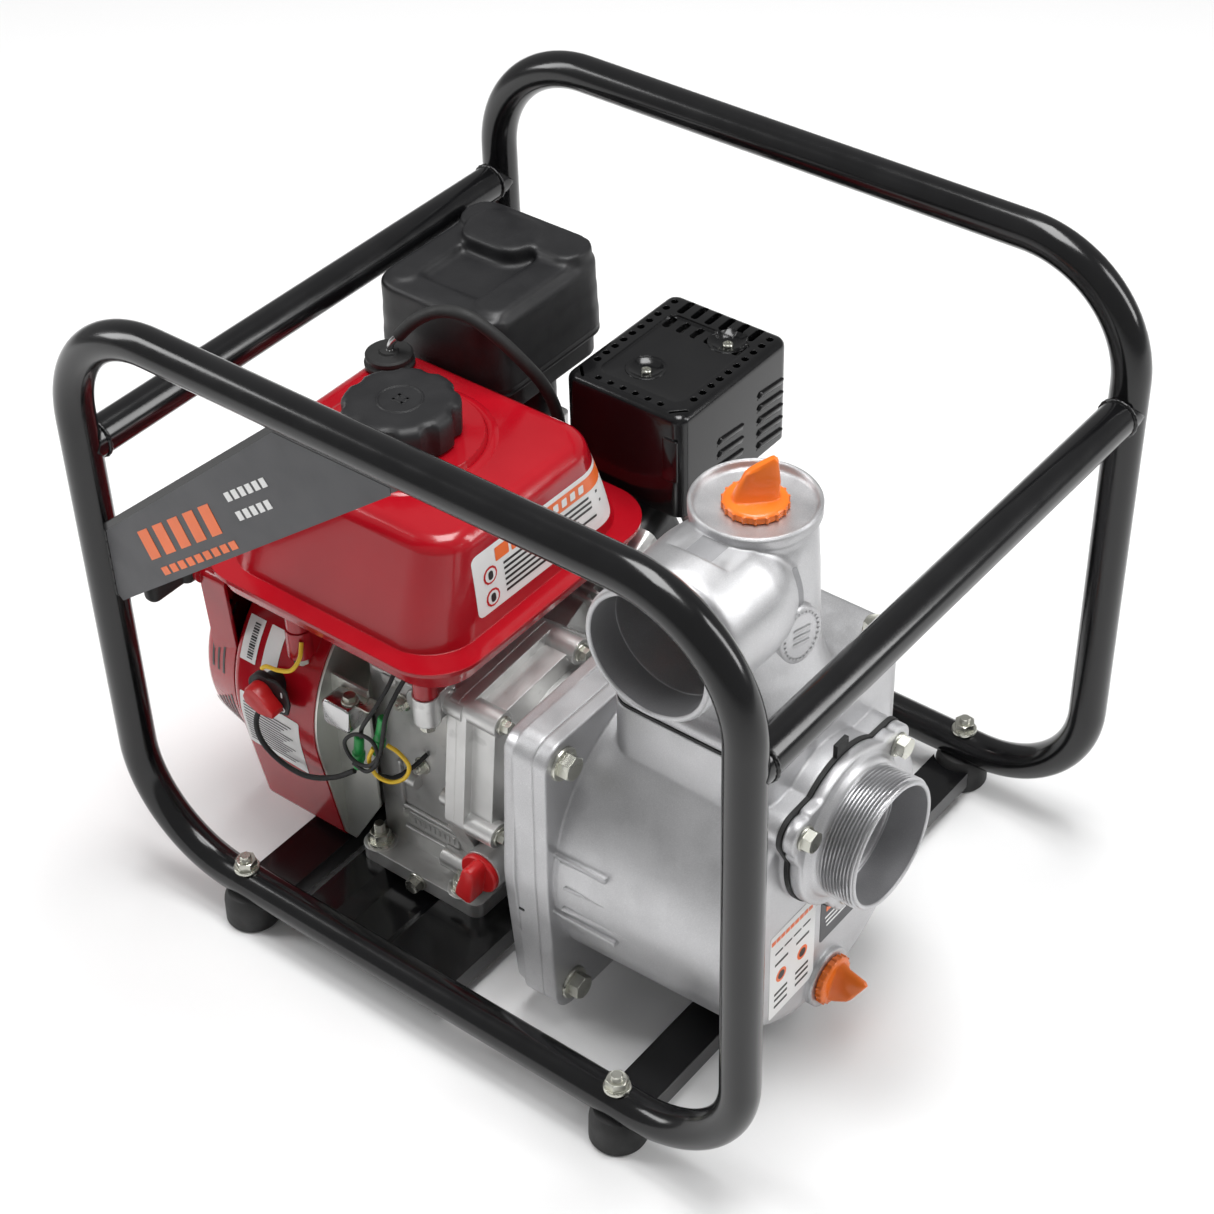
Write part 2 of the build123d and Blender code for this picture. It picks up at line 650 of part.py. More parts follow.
def crankcase():
    """Die-cast crankcase with the finned barrel: base, box, bearing wall and tank stud boss."""
    outer = [(-112, 30), (-112, 205), (-34, 210), (22, 160), (28, 100), (28, 30)]
    inner = [(-105, 38), (-105, 198), (-37, 202), (14, 157), (21, 98), (21, 38)]
    with BuildPart() as case:
        with BuildSketch(Plane.XY.offset(DECK_Z)):
            with Locations((-67, -35)):
                RectangleRounded(106, 194, 8)
        extrude(amount=12)
        with BuildSketch(across_x(CASE_X)):
            with BuildLine():
                Polyline(*outer, close=True)
            make_face()
        extrude(amount=COVER_X - CASE_X)
        with BuildSketch(across_x(COVER_X - 8)):
            flange_hull(9)
        extrude(amount=8)
        with BuildSketch(along_cylinder(50)):
            Rectangle(82, 80)
        extrude(amount=68)
        for step in range(6):
            with BuildSketch(along_cylinder(82 + step * 6.8)):
                RectangleRounded(106, 92, 6)
            extrude(amount=2)
        with BuildSketch(Plane.XY.offset(188)):
            with Locations((-46, -130)):
                Circle(9)
            with Locations((-46, -120)):
                Rectangle(14, 20)
        extrude(amount=22)
        with BuildSketch(across_x(CASE_X)):
            with Locations((AXIS_Y, AXIS_Z)):
                Circle(30)
        extrude(amount=-10)
        # hollows
        with BuildSketch(across_x(CASE_X + 7)):
            with BuildLine():
                Polyline(*inner, close=True)
            make_face()
        extrude(amount=COVER_X - CASE_X, mode=Mode.SUBTRACT)
        with BuildSketch(along_cylinder(38)):
            Circle(BORE_R)
        extrude(amount=100, mode=Mode.SUBTRACT)
        with BuildSketch(across_x(CASE_X - 12)):
            with Locations((AXIS_Y, AXIS_Z)):
                Circle(12.5 + RUN)
        extrude(amount=30, mode=Mode.SUBTRACT)
        with BuildSketch(across_x(CASE_X + 3)):
            with Locations((CAM_Y, CAM_Z)):
                Circle(6 + RUN)
        extrude(amount=10, mode=Mode.SUBTRACT)
        with BuildSketch(across_x(COVER_X - 12)):
            with Locations(*COVER_BOLTS):
                Circle(3 + GAP)
        extrude(amount=14, mode=Mode.SUBTRACT)
        with BuildSketch(Plane.XY.offset(180)):
            with Locations((-46, -130)):
                Circle(4 + GAP)
        extrude(amount=40, mode=Mode.SUBTRACT)
        with BuildSketch(Plane.XY.offset(DECK_Z - 1)):
            with Locations(*ENGINE_STUDS):
                Circle(STUD_R + GAP)
        extrude(amount=20, mode=Mode.SUBTRACT)
        with BuildSketch(facing_near(-110)):
            with Locations((-67, 30)):
                Circle(4 + GAP)
        extrude(amount=30, mode=Mode.SUBTRACT)
    save(case.part, "crankcase")
    with BuildPart() as bolts:
        with Locations(*[(x, y, DECK_Z - 8) for x, y in ENGINE_STUDS]):
            Cylinder(STUD_R, 34, align=(Align.CENTER, Align.CENTER, Align.MIN))
        with Locations(*[(x, y, DECK_Z + 12.05) for x, y in ENGINE_STUDS]):
            Cylinder(9.5, 2.5, align=(Align.CENTER, Align.CENTER, Align.MIN))
        with BuildSketch(Plane.XY.offset(DECK_Z + 14)):
            with Locations(*ENGINE_STUDS):
                RegularPolygon(6.5, 6, major_radius=False)
        extrude(amount=7)
        with BuildSketch(Plane.XY.offset(DECK_Z - SHEET - 5.5)):
            with Locations(*ENGINE_STUDS):
                RegularPolygon(6.5, 6, major_radius=False)
        extrude(amount=5.4)
    save(bolts.part, "engine_bolts")
    save(hex_bolts(facing_near(-132), [(-67, 30)], 10.0, 6.0, 4.0, 18.0, 7.0, 1.5), "drain_bolt")


def crankcase_cover():
    """Side cover with the bolting face for the pump, its near-side oil filler neck and bolt lobes."""
    with BuildPart() as cover:
        with BuildSketch(across_x(COVER_X)):
            flange_hull(9)
        extrude(amount=8)
        with BuildSketch(across_x(COVER_X)):
            flange_hull(2)
        extrude(amount=26)
        with BuildSketch(on_axis(COVER_X + 20)):
            Circle(60)
        extrude(amount=PTO_X - COVER_X - 20)
        with BuildSketch(across_x(COVER_X)):
            with Locations(*COVER_BOLTS):
                Circle(9)
        extrude(amount=31)
        with BuildSketch(facing_near(-90)):
            with Locations((-6, 78)):
                Circle(15)
        extrude(amount=43)
        # hollows
        with BuildSketch(across_x(COVER_X)):
            with BuildLine():
                Polyline((-104, 60), (-104, 190), (-38, 194), (8, 150), (12, 96), (8, 56), close=True)
            make_face()
        extrude(amount=18, mode=Mode.SUBTRACT)
        with BuildSketch(facing_near(-112)):
            with Locations((-6, 78)):
                Circle(10 + RUN)
        extrude(amount=30, mode=Mode.SUBTRACT)
        with BuildSketch(on_axis(COVER_X - 1)):
            Circle(12.5 + RUN)
        extrude(amount=60, mode=Mode.SUBTRACT)
        with BuildSketch(across_x(COVER_X + 17)):
            with Locations((CAM_Y, CAM_Z)):
                Circle(6 + RUN)
        extrude(amount=8, mode=Mode.SUBTRACT)
        with BuildSketch(across_x(COVER_X - 1)):
            with Locations(*COVER_BOLTS):
                Circle(3 + GAP)
        extrude(amount=60, mode=Mode.SUBTRACT)
    save(cover.part, "crankcase_cover")
    save(hex_bolts(across_x(COVER_X + 31), COVER_BOLTS, 8.0, 5.0, 3.0, 40.0, 6.5, 1.5), "cover_bolts")
    with BuildPart() as plug:
        with BuildSketch(facing_near(-119)):
            with Locations((-6, 78)):
                Circle(10)
        extrude(amount=15)
        with BuildSketch(facing_near(-133.1)):
            with Locations((-6, 78)):
                Circle(13.5)
        extrude(amount=4)
        with BuildSketch(facing_near(-137)):
            with Locations(Location((-6, 78), 35)):
                SlotOverall(24, 8)
        extrude(amount=8)
    save(plug.part, "oil_plug")


def cylinder_head():
    """Head with fins, rocker cover, and the spark plug with its lead."""
    with BuildPart() as head:
        with BuildSketch(along_cylinder(118.1)):
            with Locations((0, -5)):
                RectangleRounded(104, 80, 6)
        extrude(amount=30)
        for step in range(3):
            with BuildSketch(along_cylinder(121 + step * 9)):
                with Locations((0, -44)):
                    Rectangle(120, 14)
            extrude(amount=6, mode=Mode.SUBTRACT)
        with BuildSketch(along_cylinder(117)):
            Circle(BORE_R - 4)
        extrude(amount=8, mode=Mode.SUBTRACT)
        with BuildSketch(across_x(CYL_X + 40)):
            with Locations(SPARK_YZ):
                Circle(6 + GAP)
            with Locations(PIPE_YZ):
                Circle(8 + GAP)
        extrude(amount=20, mode=Mode.SUBTRACT)
    save(head.part, "cylinder_head")
    with BuildPart() as lid:
        with BuildSketch(along_cylinder(148.2)):
            with Locations((0, -5)):
                RectangleRounded(88, 62, 12)
        extrude(amount=30)
        fillet(lid.faces().sort_by(Axis((0, 0, 0), (0, COS_T, SIN_T)))[-1].edges(), 5)
        with BuildSketch(along_cylinder(148)):
            with Locations((0, -5)):
                RectangleRounded(82, 56, 9)
        extrude(amount=27, mode=Mode.SUBTRACT)
    save(lid.part, "rocker_cover")
    with BuildPart() as plug:
        with BuildSketch(across_x(CYL_X + 41)):
            with Locations(SPARK_YZ):
                Circle(6)
        extrude(amount=14)
        with BuildSketch(across_x(CYL_X + 52.1)):
            with Locations(SPARK_YZ):
                RegularPolygon(8, 6, major_radius=False)
        extrude(amount=8)
        with BuildSketch(across_x(CYL_X + 58)):
            with Locations(SPARK_YZ):
                Circle(4.5)
        extrude(amount=18)
    save(plug.part, "spark_plug")
    y, z = SPARK_YZ
    with BuildPart() as lead:
        with BuildSketch(across_x(CYL_X + 62)):
            with Locations(SPARK_YZ):
                Circle(8.5)
        extrude(amount=28)
        with BuildSketch(across_x(CYL_X + 61)):
            with Locations(SPARK_YZ):
                Circle(4.6)
        extrude(amount=16, mode=Mode.SUBTRACT)
        with BuildLine() as path:
            FilletPolyline((CYL_X + 82, y, z), (CYL_X + 82, y + 2, z - 60), (CYL_X + 50, y, 62), (-141, y - 8, 70),
                           radius=14)
        with BuildSketch(Plane(origin=path.line @ 0, z_dir=path.line % 0)):
            Circle(3.5)
        sweep()
    save(lead.part, "plug_lead")


def gear_points(teeth, module, play):
    """Corners of a straight-sided toothed wheel, its teeth thinned by the play."""
    pitch_r = teeth * module / 2
    half = pi * module / 4 - play
    points = []
    for tooth in range(teeth):
        middle = 2 * pi * tooth / teeth
        for height, width in ((-1.25, 1.5), (0.9, 0.45), (0.9, -0.45), (-1.25, -1.5)):
            reach = pitch_r + height * module
            angle = middle - width * half / pitch_r
            points.append((reach * cos(angle), reach * sin(angle)))
    return points


def crank_train():
    """Crankshaft with its pinion, camshaft, flywheel, and the piston and rod at top dead centre."""
    pin = (22.0 * COS_T, 22.0 * SIN_T)
    gear_x = -52.0
    mesh = degrees(atan2(CAM_Z - AXIS_Z, CAM_Y - AXIS_Y))
    with BuildPart() as crank:
        with BuildSketch(on_axis(-205)):
            Circle(8)
        extrude(amount=45)
        with BuildSketch(on_axis(-165)):
            Circle(12.5)
        extrude(amount=PTO_X + 165)
        with BuildSketch(on_axis(-84)):
            Circle(WEB_R)
        extrude(amount=28)
        with BuildSketch(on_axis(-76)):
            Circle(WEB_R + 2)
            with Locations(pin):
                Circle(11, mode=Mode.SUBTRACT)
        extrude(amount=12, mode=Mode.SUBTRACT)
        with BuildSketch(turned(gear_x, AXIS_Y, AXIS_Z, mesh)):
            with BuildLine():
                Polyline(*gear_points(20, 1.5, 0.35), close=True)
            make_face()
        extrude(amount=8)
        with BuildSketch(on_axis(PTO_X)):
            Circle(SHAFT_R)
        extrude(amount=PART_X + 42 - PTO_X)
    save(crank.part, "crankshaft")
    with BuildPart() as cam:
        with BuildSketch(across_x(CASE_X + 3.5)):
            with Locations((CAM_Y, CAM_Z)):
                Circle(6)
        extrude(amount=COVER_X + 24 - CASE_X - 4)
        with BuildSketch(turned(gear_x, CAM_Y, CAM_Z, mesh + 180 + 360 / 80)):
            with BuildLine():
                Polyline(*gear_points(40, 1.5, 0.35), close=True)
            make_face()
        extrude(amount=8)
        for start, lean in ((-102, 20), (-94, 130)):
            with BuildSketch(turned(start, CAM_Y, CAM_Z, lean)):
                Circle(10)
                with Locations((7, 0)):
                    Circle(5)
                make_hull()
            extrude(amount=6)
    save(cam.part, "camshaft")
    with BuildPart() as wheel:
        with BuildSketch(on_axis(-166)):
            Circle(85)
        extrude(amount=12)
        with BuildSketch(on_axis(-180)):
            Circle(26)
        extrude(amount=24)
        with BuildSketch(on_axis(-190)):
            with PolarLocations(69, 16):
                Rectangle(26, 3)
        extrude(amount=25)
        with BuildSketch(on_axis(-204)):
            Circle(34)
            Circle(30, mode=Mode.SUBTRACT)
        extrude(amount=25)
        with BuildSketch(on_axis(-182)):
            Circle(34)
        extrude(amount=4)
        with BuildSketch(on_axis(-206)):
            Circle(8)
        extrude(amount=60, mode=Mode.SUBTRACT)
        with BuildSketch(on_axis(-165)):
            Circle(12.5)
        extrude(amount=60, mode=Mode.SUBTRACT)
    save(wheel.part, "flywheel")
    wrist = 98.0
    with BuildPart() as piston:
        with BuildSketch(along_cylinder(wrist - 20)):
            Circle(BORE_R - 0.06)
        extrude(amount=38)
        with BuildSketch(along_cylinder(wrist - 21)):
            Circle(BORE_R - 5)
        extrude(amount=33, mode=Mode.SUBTRACT)
        with Locations(along_cylinder(wrist)):
            Cylinder(7, 2 * BORE_R - 4, rotation=(0, 90, 0))
    save(piston.part, "piston")
    with BuildPart() as rod:
        with Locations(along_cylinder(wrist)):
            Cylinder(11, 14, rotation=(0, 90, 0))
        with BuildSketch(along_cylinder(WEB_R + 3)):
            Rectangle(12, 26)
        with BuildSketch(along_cylinder(wrist)):
            Rectangle(10, 14)
        loft()
        with Locations(along_cylinder(wrist)):
            Cylinder(7.05, 40, rotation=(0, 90, 0), mode=Mode.SUBTRACT)
    save(rod.part, "connecting_rod")


def fan_outline(radius):
    """Outline of the fan cover: a circle round the crankshaft, a near foot and the duct to the cylinder."""
    inset = FAN_R - radius
    with Locations((AXIS_Y, AXIS_Z)):
        Circle(radius)
    with Locations((-119, 34)):
        Circle(9 - inset)
    with Locations((54, 190), (58, 90)):
        Circle(20 - inset)
    make_hull()


def fan_side():
    """Shroud plate, fan cover, recoil starter housing, its reel, rope and T handle."""
    with BuildPart() as plate:
        with BuildSketch(across_x(FAN_X[1])):
            fan_outline(FAN_R - 1)
            with Locations((AXIS_Y, AXIS_Z)):
                Circle(40, mode=Mode.SUBTRACT)
        extrude(amount=2)
        with BuildSketch(across_x(FAN_X[1])):
            with Locations((AXIS_Y, AXIS_Z)):
                Circle(44)
                Circle(30.05, mode=Mode.SUBTRACT)
        extrude(amount=CASE_X - FAN_X[1])
        with BuildSketch(facing_near(-122)):
            with BuildLine():
                Polyline((FAN_X[1], 27), (-131, 27), (-105, 71), (-105, 176), (FAN_X[1], 176), close=True)
            make_face()
        extrude(amount=2)
    save(plate.part, "shroud_plate")
    with BuildPart() as cover:
        with BuildSketch(across_x(FAN_X[0])):
            fan_outline(FAN_R)
        extrude(amount=FAN_X[1] - FAN_X[0] - 0.1)
        rim = cover.faces().sort_by(Axis.X)[0].edges()
        fillet(rim, 7)
        with BuildSketch(across_x(FAN_X[0] + 2.5)):
            fan_outline(FAN_R - 2.5)
        extrude(amount=100, mode=Mode.SUBTRACT)
        with BuildSketch(on_axis(FAN_X[0] - 1)):
            Circle(70)
        extrude(amount=10, mode=Mode.SUBTRACT)
        with BuildSketch(Plane.XY.offset(188)):
            with Locations((-156, -130)):
                Circle(9)
            with Locations((-156, -118)):
                Rectangle(16, 24)
        extrude(amount=22)
        with BuildSketch(on_axis(FAN_X[0] + 10)):
            Circle(FAN_R - 2.5)
        extrude(amount=70, mode=Mode.SUBTRACT)
        with BuildSketch(Plane.XY.offset(180)):
            with Locations((-156, -130)):
                Circle(4 + GAP)
        extrude(amount=40, mode=Mode.SUBTRACT)
        with BuildSketch(facing_near(-100)):
            with Locations(KNOB_XZ):
                Circle(9 + GAP)
        extrude(amount=60, mode=Mode.SUBTRACT)
    save(cover.part, "fan_cover")
    with BuildPart() as dome:
        with BuildSketch(on_axis(DOME_X)):
            Circle(86)
        with BuildSketch(on_axis(FAN_X[0])):
            Circle(93)
        loft()
        with BuildSketch(across_x(-238)):
            with Locations((AXIS_Y, AXIS_Z)):
                Circle(84)
            with Locations((GUIDE_Y, GUIDE_Z - 1)):
                Circle(5)
            make_hull()
        extrude(amount=FAN_X[0] + 238)
        fillet(dome.edges().filter_by(GeomType.CIRCLE).sort_by(Axis.X)[0], 9)
        with BuildSketch(on_axis(DOME_X + 2.5)):
            Circle(83.5)
        with BuildSketch(on_axis(FAN_X[0] + 1)):
            Circle(90.5)
        loft(mode=Mode.SUBTRACT)
        with BuildSketch(across_x(-235.5)):
            with Locations((AXIS_Y, AXIS_Z)):
                Circle(81.5)
            with Locations((GUIDE_Y, GUIDE_Z - 1)):
                Circle(2.5)
            make_hull()
        extrude(amount=30, mode=Mode.SUBTRACT)
        with BuildSketch(on_axis(DOME_X)):
            Circle(12)
        extrude(amount=8)
        with BuildSketch(on_axis(DOME_X)):
            Circle(8)
        extrude(amount=32)
        with BuildSketch(across_x(-243)):
            with Locations((GUIDE_Y, GUIDE_Z)):
                Circle(9)
        extrude(amount=6)
        with BuildSketch(across_x(-244)):
            with Locations((GUIDE_Y, GUIDE_Z)):
                Circle(ROPE_R + 0.5)
        extrude(amount=12, mode=Mode.SUBTRACT)
        with BuildSketch(on_axis(DOME_X - 1)):
            for ring in (34, 50, 66):
                with PolarLocations(0, 6):
                    SlotArc(CenterArc((0, 0), ring, -20, 40), 6)
        extrude(amount=6, mode=Mode.SUBTRACT)
    save(dome.part, "recoil_housing")
    with BuildPart() as reel:
        for start, radius in ((-240, 60), (-237, 48), (-229, 60)):
            with BuildSketch(on_axis(start)):
                Circle(radius)
            extrude(amount=8 if radius < 60 else 3)
        with BuildSketch(on_axis(-245)):
            Circle(8 + RUN)
        extrude(amount=40, mode=Mode.SUBTRACT)
    save(reel.part, "recoil_reel")
    with BuildPart() as rope:
        with BuildSketch(across_x(-246)):
            with Locations((GUIDE_Y, GUIDE_Z)):
                Circle(ROPE_R)
        extrude(amount=9)
    save(rope.part, "starter_rope")
    with BuildPart() as grip:
        with BuildSketch(Plane.XZ.offset(-GUIDE_Y - 45)):
            with Locations((-250, GUIDE_Z)):
                RectangleRounded(14, 18, 6)
        extrude(amount=90)
        fillet(grip.edges().group_by(Axis.Y)[0] + grip.edges().group_by(Axis.Y)[-1], 4)
        with BuildSketch(across_x(-250)):
            with Locations((GUIDE_Y, GUIDE_Z)):
                Circle(8)
        with BuildSketch(across_x(-244)):
            with Locations((GUIDE_Y, GUIDE_Z)):
                Circle(6)
        loft()
        with BuildSketch(across_x(-246)):
            with Locations((GUIDE_Y, GUIDE_Z)):
                Circle(ROPE_R)
        extrude(amount=10, mode=Mode.SUBTRACT)
    save(grip.part, "starter_handle")


def intake():
    """Carburettor, and the air cleaner's base, element and cover above it."""
    with BuildPart() as carb:
        with BuildSketch(Plane.XY.offset(190)):
            with Locations((-146, 102)):
                RectangleRounded(34, 44, 5)
        extrude(amount=57.9)
        with BuildSketch(Plane.XY.offset(168)):
            with Locations((-146, 102)):
                Circle(17)
        extrude(amount=24)
        with BuildSketch(across_x(-132)):
            with Locations((90, 198)):
                Circle(9)
                Rectangle(40, 24)
        extrude(amount=9.9)
    save(carb.part, "carburettor")
    left, right, near, far = AIR_BOX
    middle = ((left + right) / 2, (near + far) / 2)
    wide, deep = right - left, far - near
    with BuildPart() as base:
        with BuildSketch(Plane.XY.offset(283)):
            with Locations((middle[0], middle[1] + 4)):
                RectangleRounded(wide - 2, deep - 12, 18)
        extrude(amount=14)
        with BuildSketch(Plane.XY.offset(248)):
            with Locations((-146, 102)):
                Circle(18)
        extrude(amount=36)
        with BuildSketch(Plane.XY.offset(286)):
            with Locations((middle[0], middle[1] + 4)):
                RectangleRounded(wide - 12, deep - 20, 16)
        extrude(amount=20, mode=Mode.SUBTRACT)
        with BuildSketch(Plane.XY.offset(248)):
            with Locations((-146, 102)):
                Circle(14)
        extrude(amount=60, mode=Mode.SUBTRACT)
        with BuildSketch(Plane.XY.offset(285)):
            with Locations(middle):
                Circle(5)
        extrude(amount=11)
    save(base.part, "air_cleaner_base")
    with BuildPart() as element:
        with BuildSketch(Plane.XY.offset(286)):
            with Locations((middle[0], middle[1] + 4)):
                RectangleRounded(wide - 22, deep - 30, 14)
                RectangleRounded(wide - 62, deep - 70, 8, mode=Mode.SUBTRACT)
        extrude(amount=56)
    save(element.part, "air_cleaner_element")
    with BuildPart() as cover:
        with BuildSketch(Plane.XY.offset(297)):
            with Locations(middle):
                RectangleRounded(wide, deep, 20)
        extrude(amount=68, taper=3)
        fillet(cover.faces().sort_by(Axis.Z)[-1].edges(), 9)
        with BuildSketch(Plane.XY.offset(296.9)):
            with Locations(middle):
                RectangleRounded(wide - 6, deep - 6, 17)
        extrude(amount=64, taper=3, mode=Mode.SUBTRACT)
    save(cover.part, "air_cleaner_cover")


def exhaust():
    """Muffler with its pipe from the head, and the perforated guard with its screws."""
    left, right, near, far = GUARD_BOX
    low, high = GUARD_Z
    with BuildPart() as body:
        with BuildSketch(Plane.XY.offset(low + 9)):
            with Locations(((left + right) / 2, (near + far) / 2 + 2)):
                RectangleRounded(right - left - 22, far - near - 26, 16)
        extrude(amount=high - low - 22)
        fillet(body.edges().filter_by(Plane.XY), 8)
        with BuildLine() as path:
            y, z = PIPE_YZ
            FilletPolyline((CYL_X + 44, y, z), (-2, y, z), (-4, 102, 218), (-40, 116, 252), radius=10)
        with BuildSketch(Plane(origin=path.line @ 0, z_dir=path.line % 0)):
            Circle(8)
        sweep()
    save(body.part, "muffler")
    wall = 1.2
    with BuildPart() as guard:
        with BuildSketch(Plane.XY.offset(low)):
            with Locations(((left + right) / 2, (near + far) / 2)):
                RectangleRounded(right - left, far - near, 10)
        extrude(amount=high - low)
        fillet(guard.faces().sort_by(Axis.Z)[-1].edges(), 6)
        with BuildSketch(Plane.XY.offset(low - 1)):
            with Locations(((left + right) / 2, (near + far) / 2)):
                RectangleRounded(right - left - 2 * wall, far - near - 2 * wall, 9)
        extrude(amount=high - low + 1 - wall - 4, mode=Mode.SUBTRACT)
        with BuildSketch(Plane.XY.offset(high - 8)):
            with Locations(((left + right) / 2, (near + far) / 2)):
                RectangleRounded(right - left - 14, far - near - 14, 6)
        extrude(amount=8 - wall, mode=Mode.SUBTRACT)
        with BuildSketch(Plane.XY.offset(high - 10)):
            for x in (left + 12, right - 12):
                for step in range(10):
                    with Locations((x, near + 16 + step * (far - near - 40) / 9)):
                        Circle(2.6)
            with Locations(*GUARD_SCREWS):
                Circle(2.5 + GAP)
        extrude(amount=20, mode=Mode.SUBTRACT)
    save(guard.part, "muffler_guard")
    with BuildPart() as screws:
        with Locations(*[(x, y, high) for x, y in GUARD_SCREWS]):
            Cylinder(2.5, 13, align=(Align.CENTER, Align.CENTER, Align.MAX))
            Cylinder(6, 3, align=(Align.CENTER, Align.CENTER, Align.MIN))
    save(screws.part, "guard_screws")


def fuel_tank():
    """Pressed tank with its seam rim, filler collar and welded studs; cap, vent hose."""
    low, seam, top = TANK_Z
    with BuildPart() as tank:
        with BuildSketch(Plane.XY.offset(low)):
            with Locations((-123.5, -36)):
                RectangleRounded(205, 212, 30)
        extrude(amount=seam - low, taper=-18)
        with BuildSketch(Plane.XY.offset(seam - 3)):
            with Locations((-123.5, -36)):
                RectangleRounded(221, 228, 38)
        extrude(amount=3)
        with BuildSketch(Plane.XY.offset(seam)):
            with Locations((-125, -35)):
                RectangleRounded(194, 202, 36)
        with BuildSketch(Plane.XY.offset(top)):
            with Locations((-124, -37)):
                RectangleRounded(180, 152, 28)
        loft()
        fillet(tank.faces().filter_by(Plane.XY).sort_by(Axis.Z)[-1].edges(), 13)
        with BuildSketch(Plane.XY.offset(top - 2)):
            with Locations(CAP_XY):
                Circle(55)
        extrude(amount=7, taper=20)
        with BuildSketch(Plane.XY.offset(top)):
            with Locations(CAP_XY):
                Circle(27)
        extrude(amount=14)
        with BuildSketch(Plane.XY.offset(seam - 3)):
            with Locations((-125, -35)):
                RectangleRounded(190, 198, 34)
        with BuildSketch(Plane.XY.offset(top - 3)):
            with Locations((-124, -37)):
                RectangleRounded(166, 138, 24)
        loft(mode=Mode.SUBTRACT)
        with BuildSketch(Plane.XY.offset(low + 2.5)):
            with Locations((-123.5, -36)):
                RectangleRounded(201, 208, 28)
        extrude(amount=seam - low - 4, taper=-18, mode=Mode.SUBTRACT)
        with BuildSketch(Plane.XY.offset(top - 10)):
            with Locations(CAP_XY):
                Circle(23)
        extrude(amount=40, mode=Mode.SUBTRACT)
        with BuildSketch(Plane.XY.offset(180)):
            with Locations((-46, -130), (-156, -130)):
                Circle(4)
        extrude(amount=low + 1 - 180)
        with BuildSketch(Plane.XY.offset(210.1)):
            with Locations((-46, -130), (-156, -130)):
                Circle(8)
        extrude(amount=low + 1 - 210)
    save(tank.part, "fuel_tank")
    with BuildPart() as cap:
        with BuildSketch(Plane.XY.offset(top + 6)):
            with Locations(CAP_XY):
                Circle(35)
        extrude(amount=26)
        with BuildSketch(Plane.XY.offset(top + 6)):
            with Locations(CAP_XY):
                with PolarLocations(38.5, 9, start_angle=20):
                    Circle(6)
        extrude(amount=30, mode=Mode.SUBTRACT)
        fillet(cap.faces().sort_by(Axis.Z)[-1].edges(), 2.5)
        with BuildSketch(Plane.XY.offset(top + 6)):
            with Locations(CAP_XY):
                Circle(27 + RUN)
        extrude(amount=9, mode=Mode.SUBTRACT)
    save(cap.part, "fuel_cap")
    with BuildPart() as hose:
        with BuildLine() as path:
            FilletPolyline((-196, 18, top + 0.1), (-196, 18, 348), (-168, 28, 373), (-114, 34, 370),
                           (-112, 88, 300), (-112, 88, 236), radius=14)
        with BuildSketch(Plane(origin=path.line @ 0, z_dir=path.line % 0)):
            Circle(4)
        sweep()
    save(hose.part, "vapour_hose")


def electrics():
    """Engine switch with its knob, the oil alert box and the wires between them."""
    x, z = KNOB_XZ
    with BuildPart() as body:
        with BuildSketch(facing_near(-134)):
            with Locations(KNOB_XZ):
                Circle(9)
        extrude(amount=16)
        with BuildSketch(facing_near(-146.1)):
            with Locations(KNOB_XZ):
                Circle(14)
        extrude(amount=5)
        with BuildSketch(facing_near(-133)):
            with Locations(KNOB_XZ):
                Circle(4 + RUN)
        extrude(amount=30, mode=Mode.SUBTRACT)
    save(body.part, "switch_body")
    with BuildPart() as knob:
        with BuildSketch(facing_near(-138)):
            with Locations(KNOB_XZ):
                Circle(4)
        extrude(amount=17)
        with BuildSketch(facing_near(-151.5)):
            with Locations(KNOB_XZ):
                Circle(11)
        extrude(amount=6)
        with BuildSketch(facing_near(-157)):
            with Locations(Location(KNOB_XZ, 60)):
                SlotOverall(22, 9)
        extrude(amount=11)
    save(knob.part, "switch_knob")
    with BuildPart() as box:
        with BuildSketch(facing_near(-124)):
            with Locations((-118, 160)):
                RectangleRounded(24, 20, 3)
        extrude(amount=18)
    save(box.part, "oil_alert_unit")
    with BuildPart() as wires:
        with BuildLine() as path:
            FilletPolyline((x + 17, -150, z - 8), (x + 30, -152, z - 28), (-126, -143, 116), (-112, -131, 134),
                           radius=7)
        with BuildSketch(Plane(origin=path.line @ 0, z_dir=path.line % 0)):
            Circle(3)
        sweep()
        with Locations((-107, -131, 137)):
            Box(16, 9, 12)
        with BuildLine() as second:
            FilletPolyline((-101, -131, 137), (-86, -134, 124), (-66, -130, 134), (-66, -112.1, 134), radius=6)
        with BuildSketch(Plane(origin=second.line @ 0, z_dir=second.line % 0)):
            Circle(2)
        sweep(path=second.line)
    save(wires.part, "switch_wires")


def build_engine():
    crankcase()
    crankcase_cover()
    cylinder_head()
    crank_train()
    fan_side()
    intake()
    exhaust()
    fuel_tank()
    electrics()


build_frame()
build_pump()
build_engine()
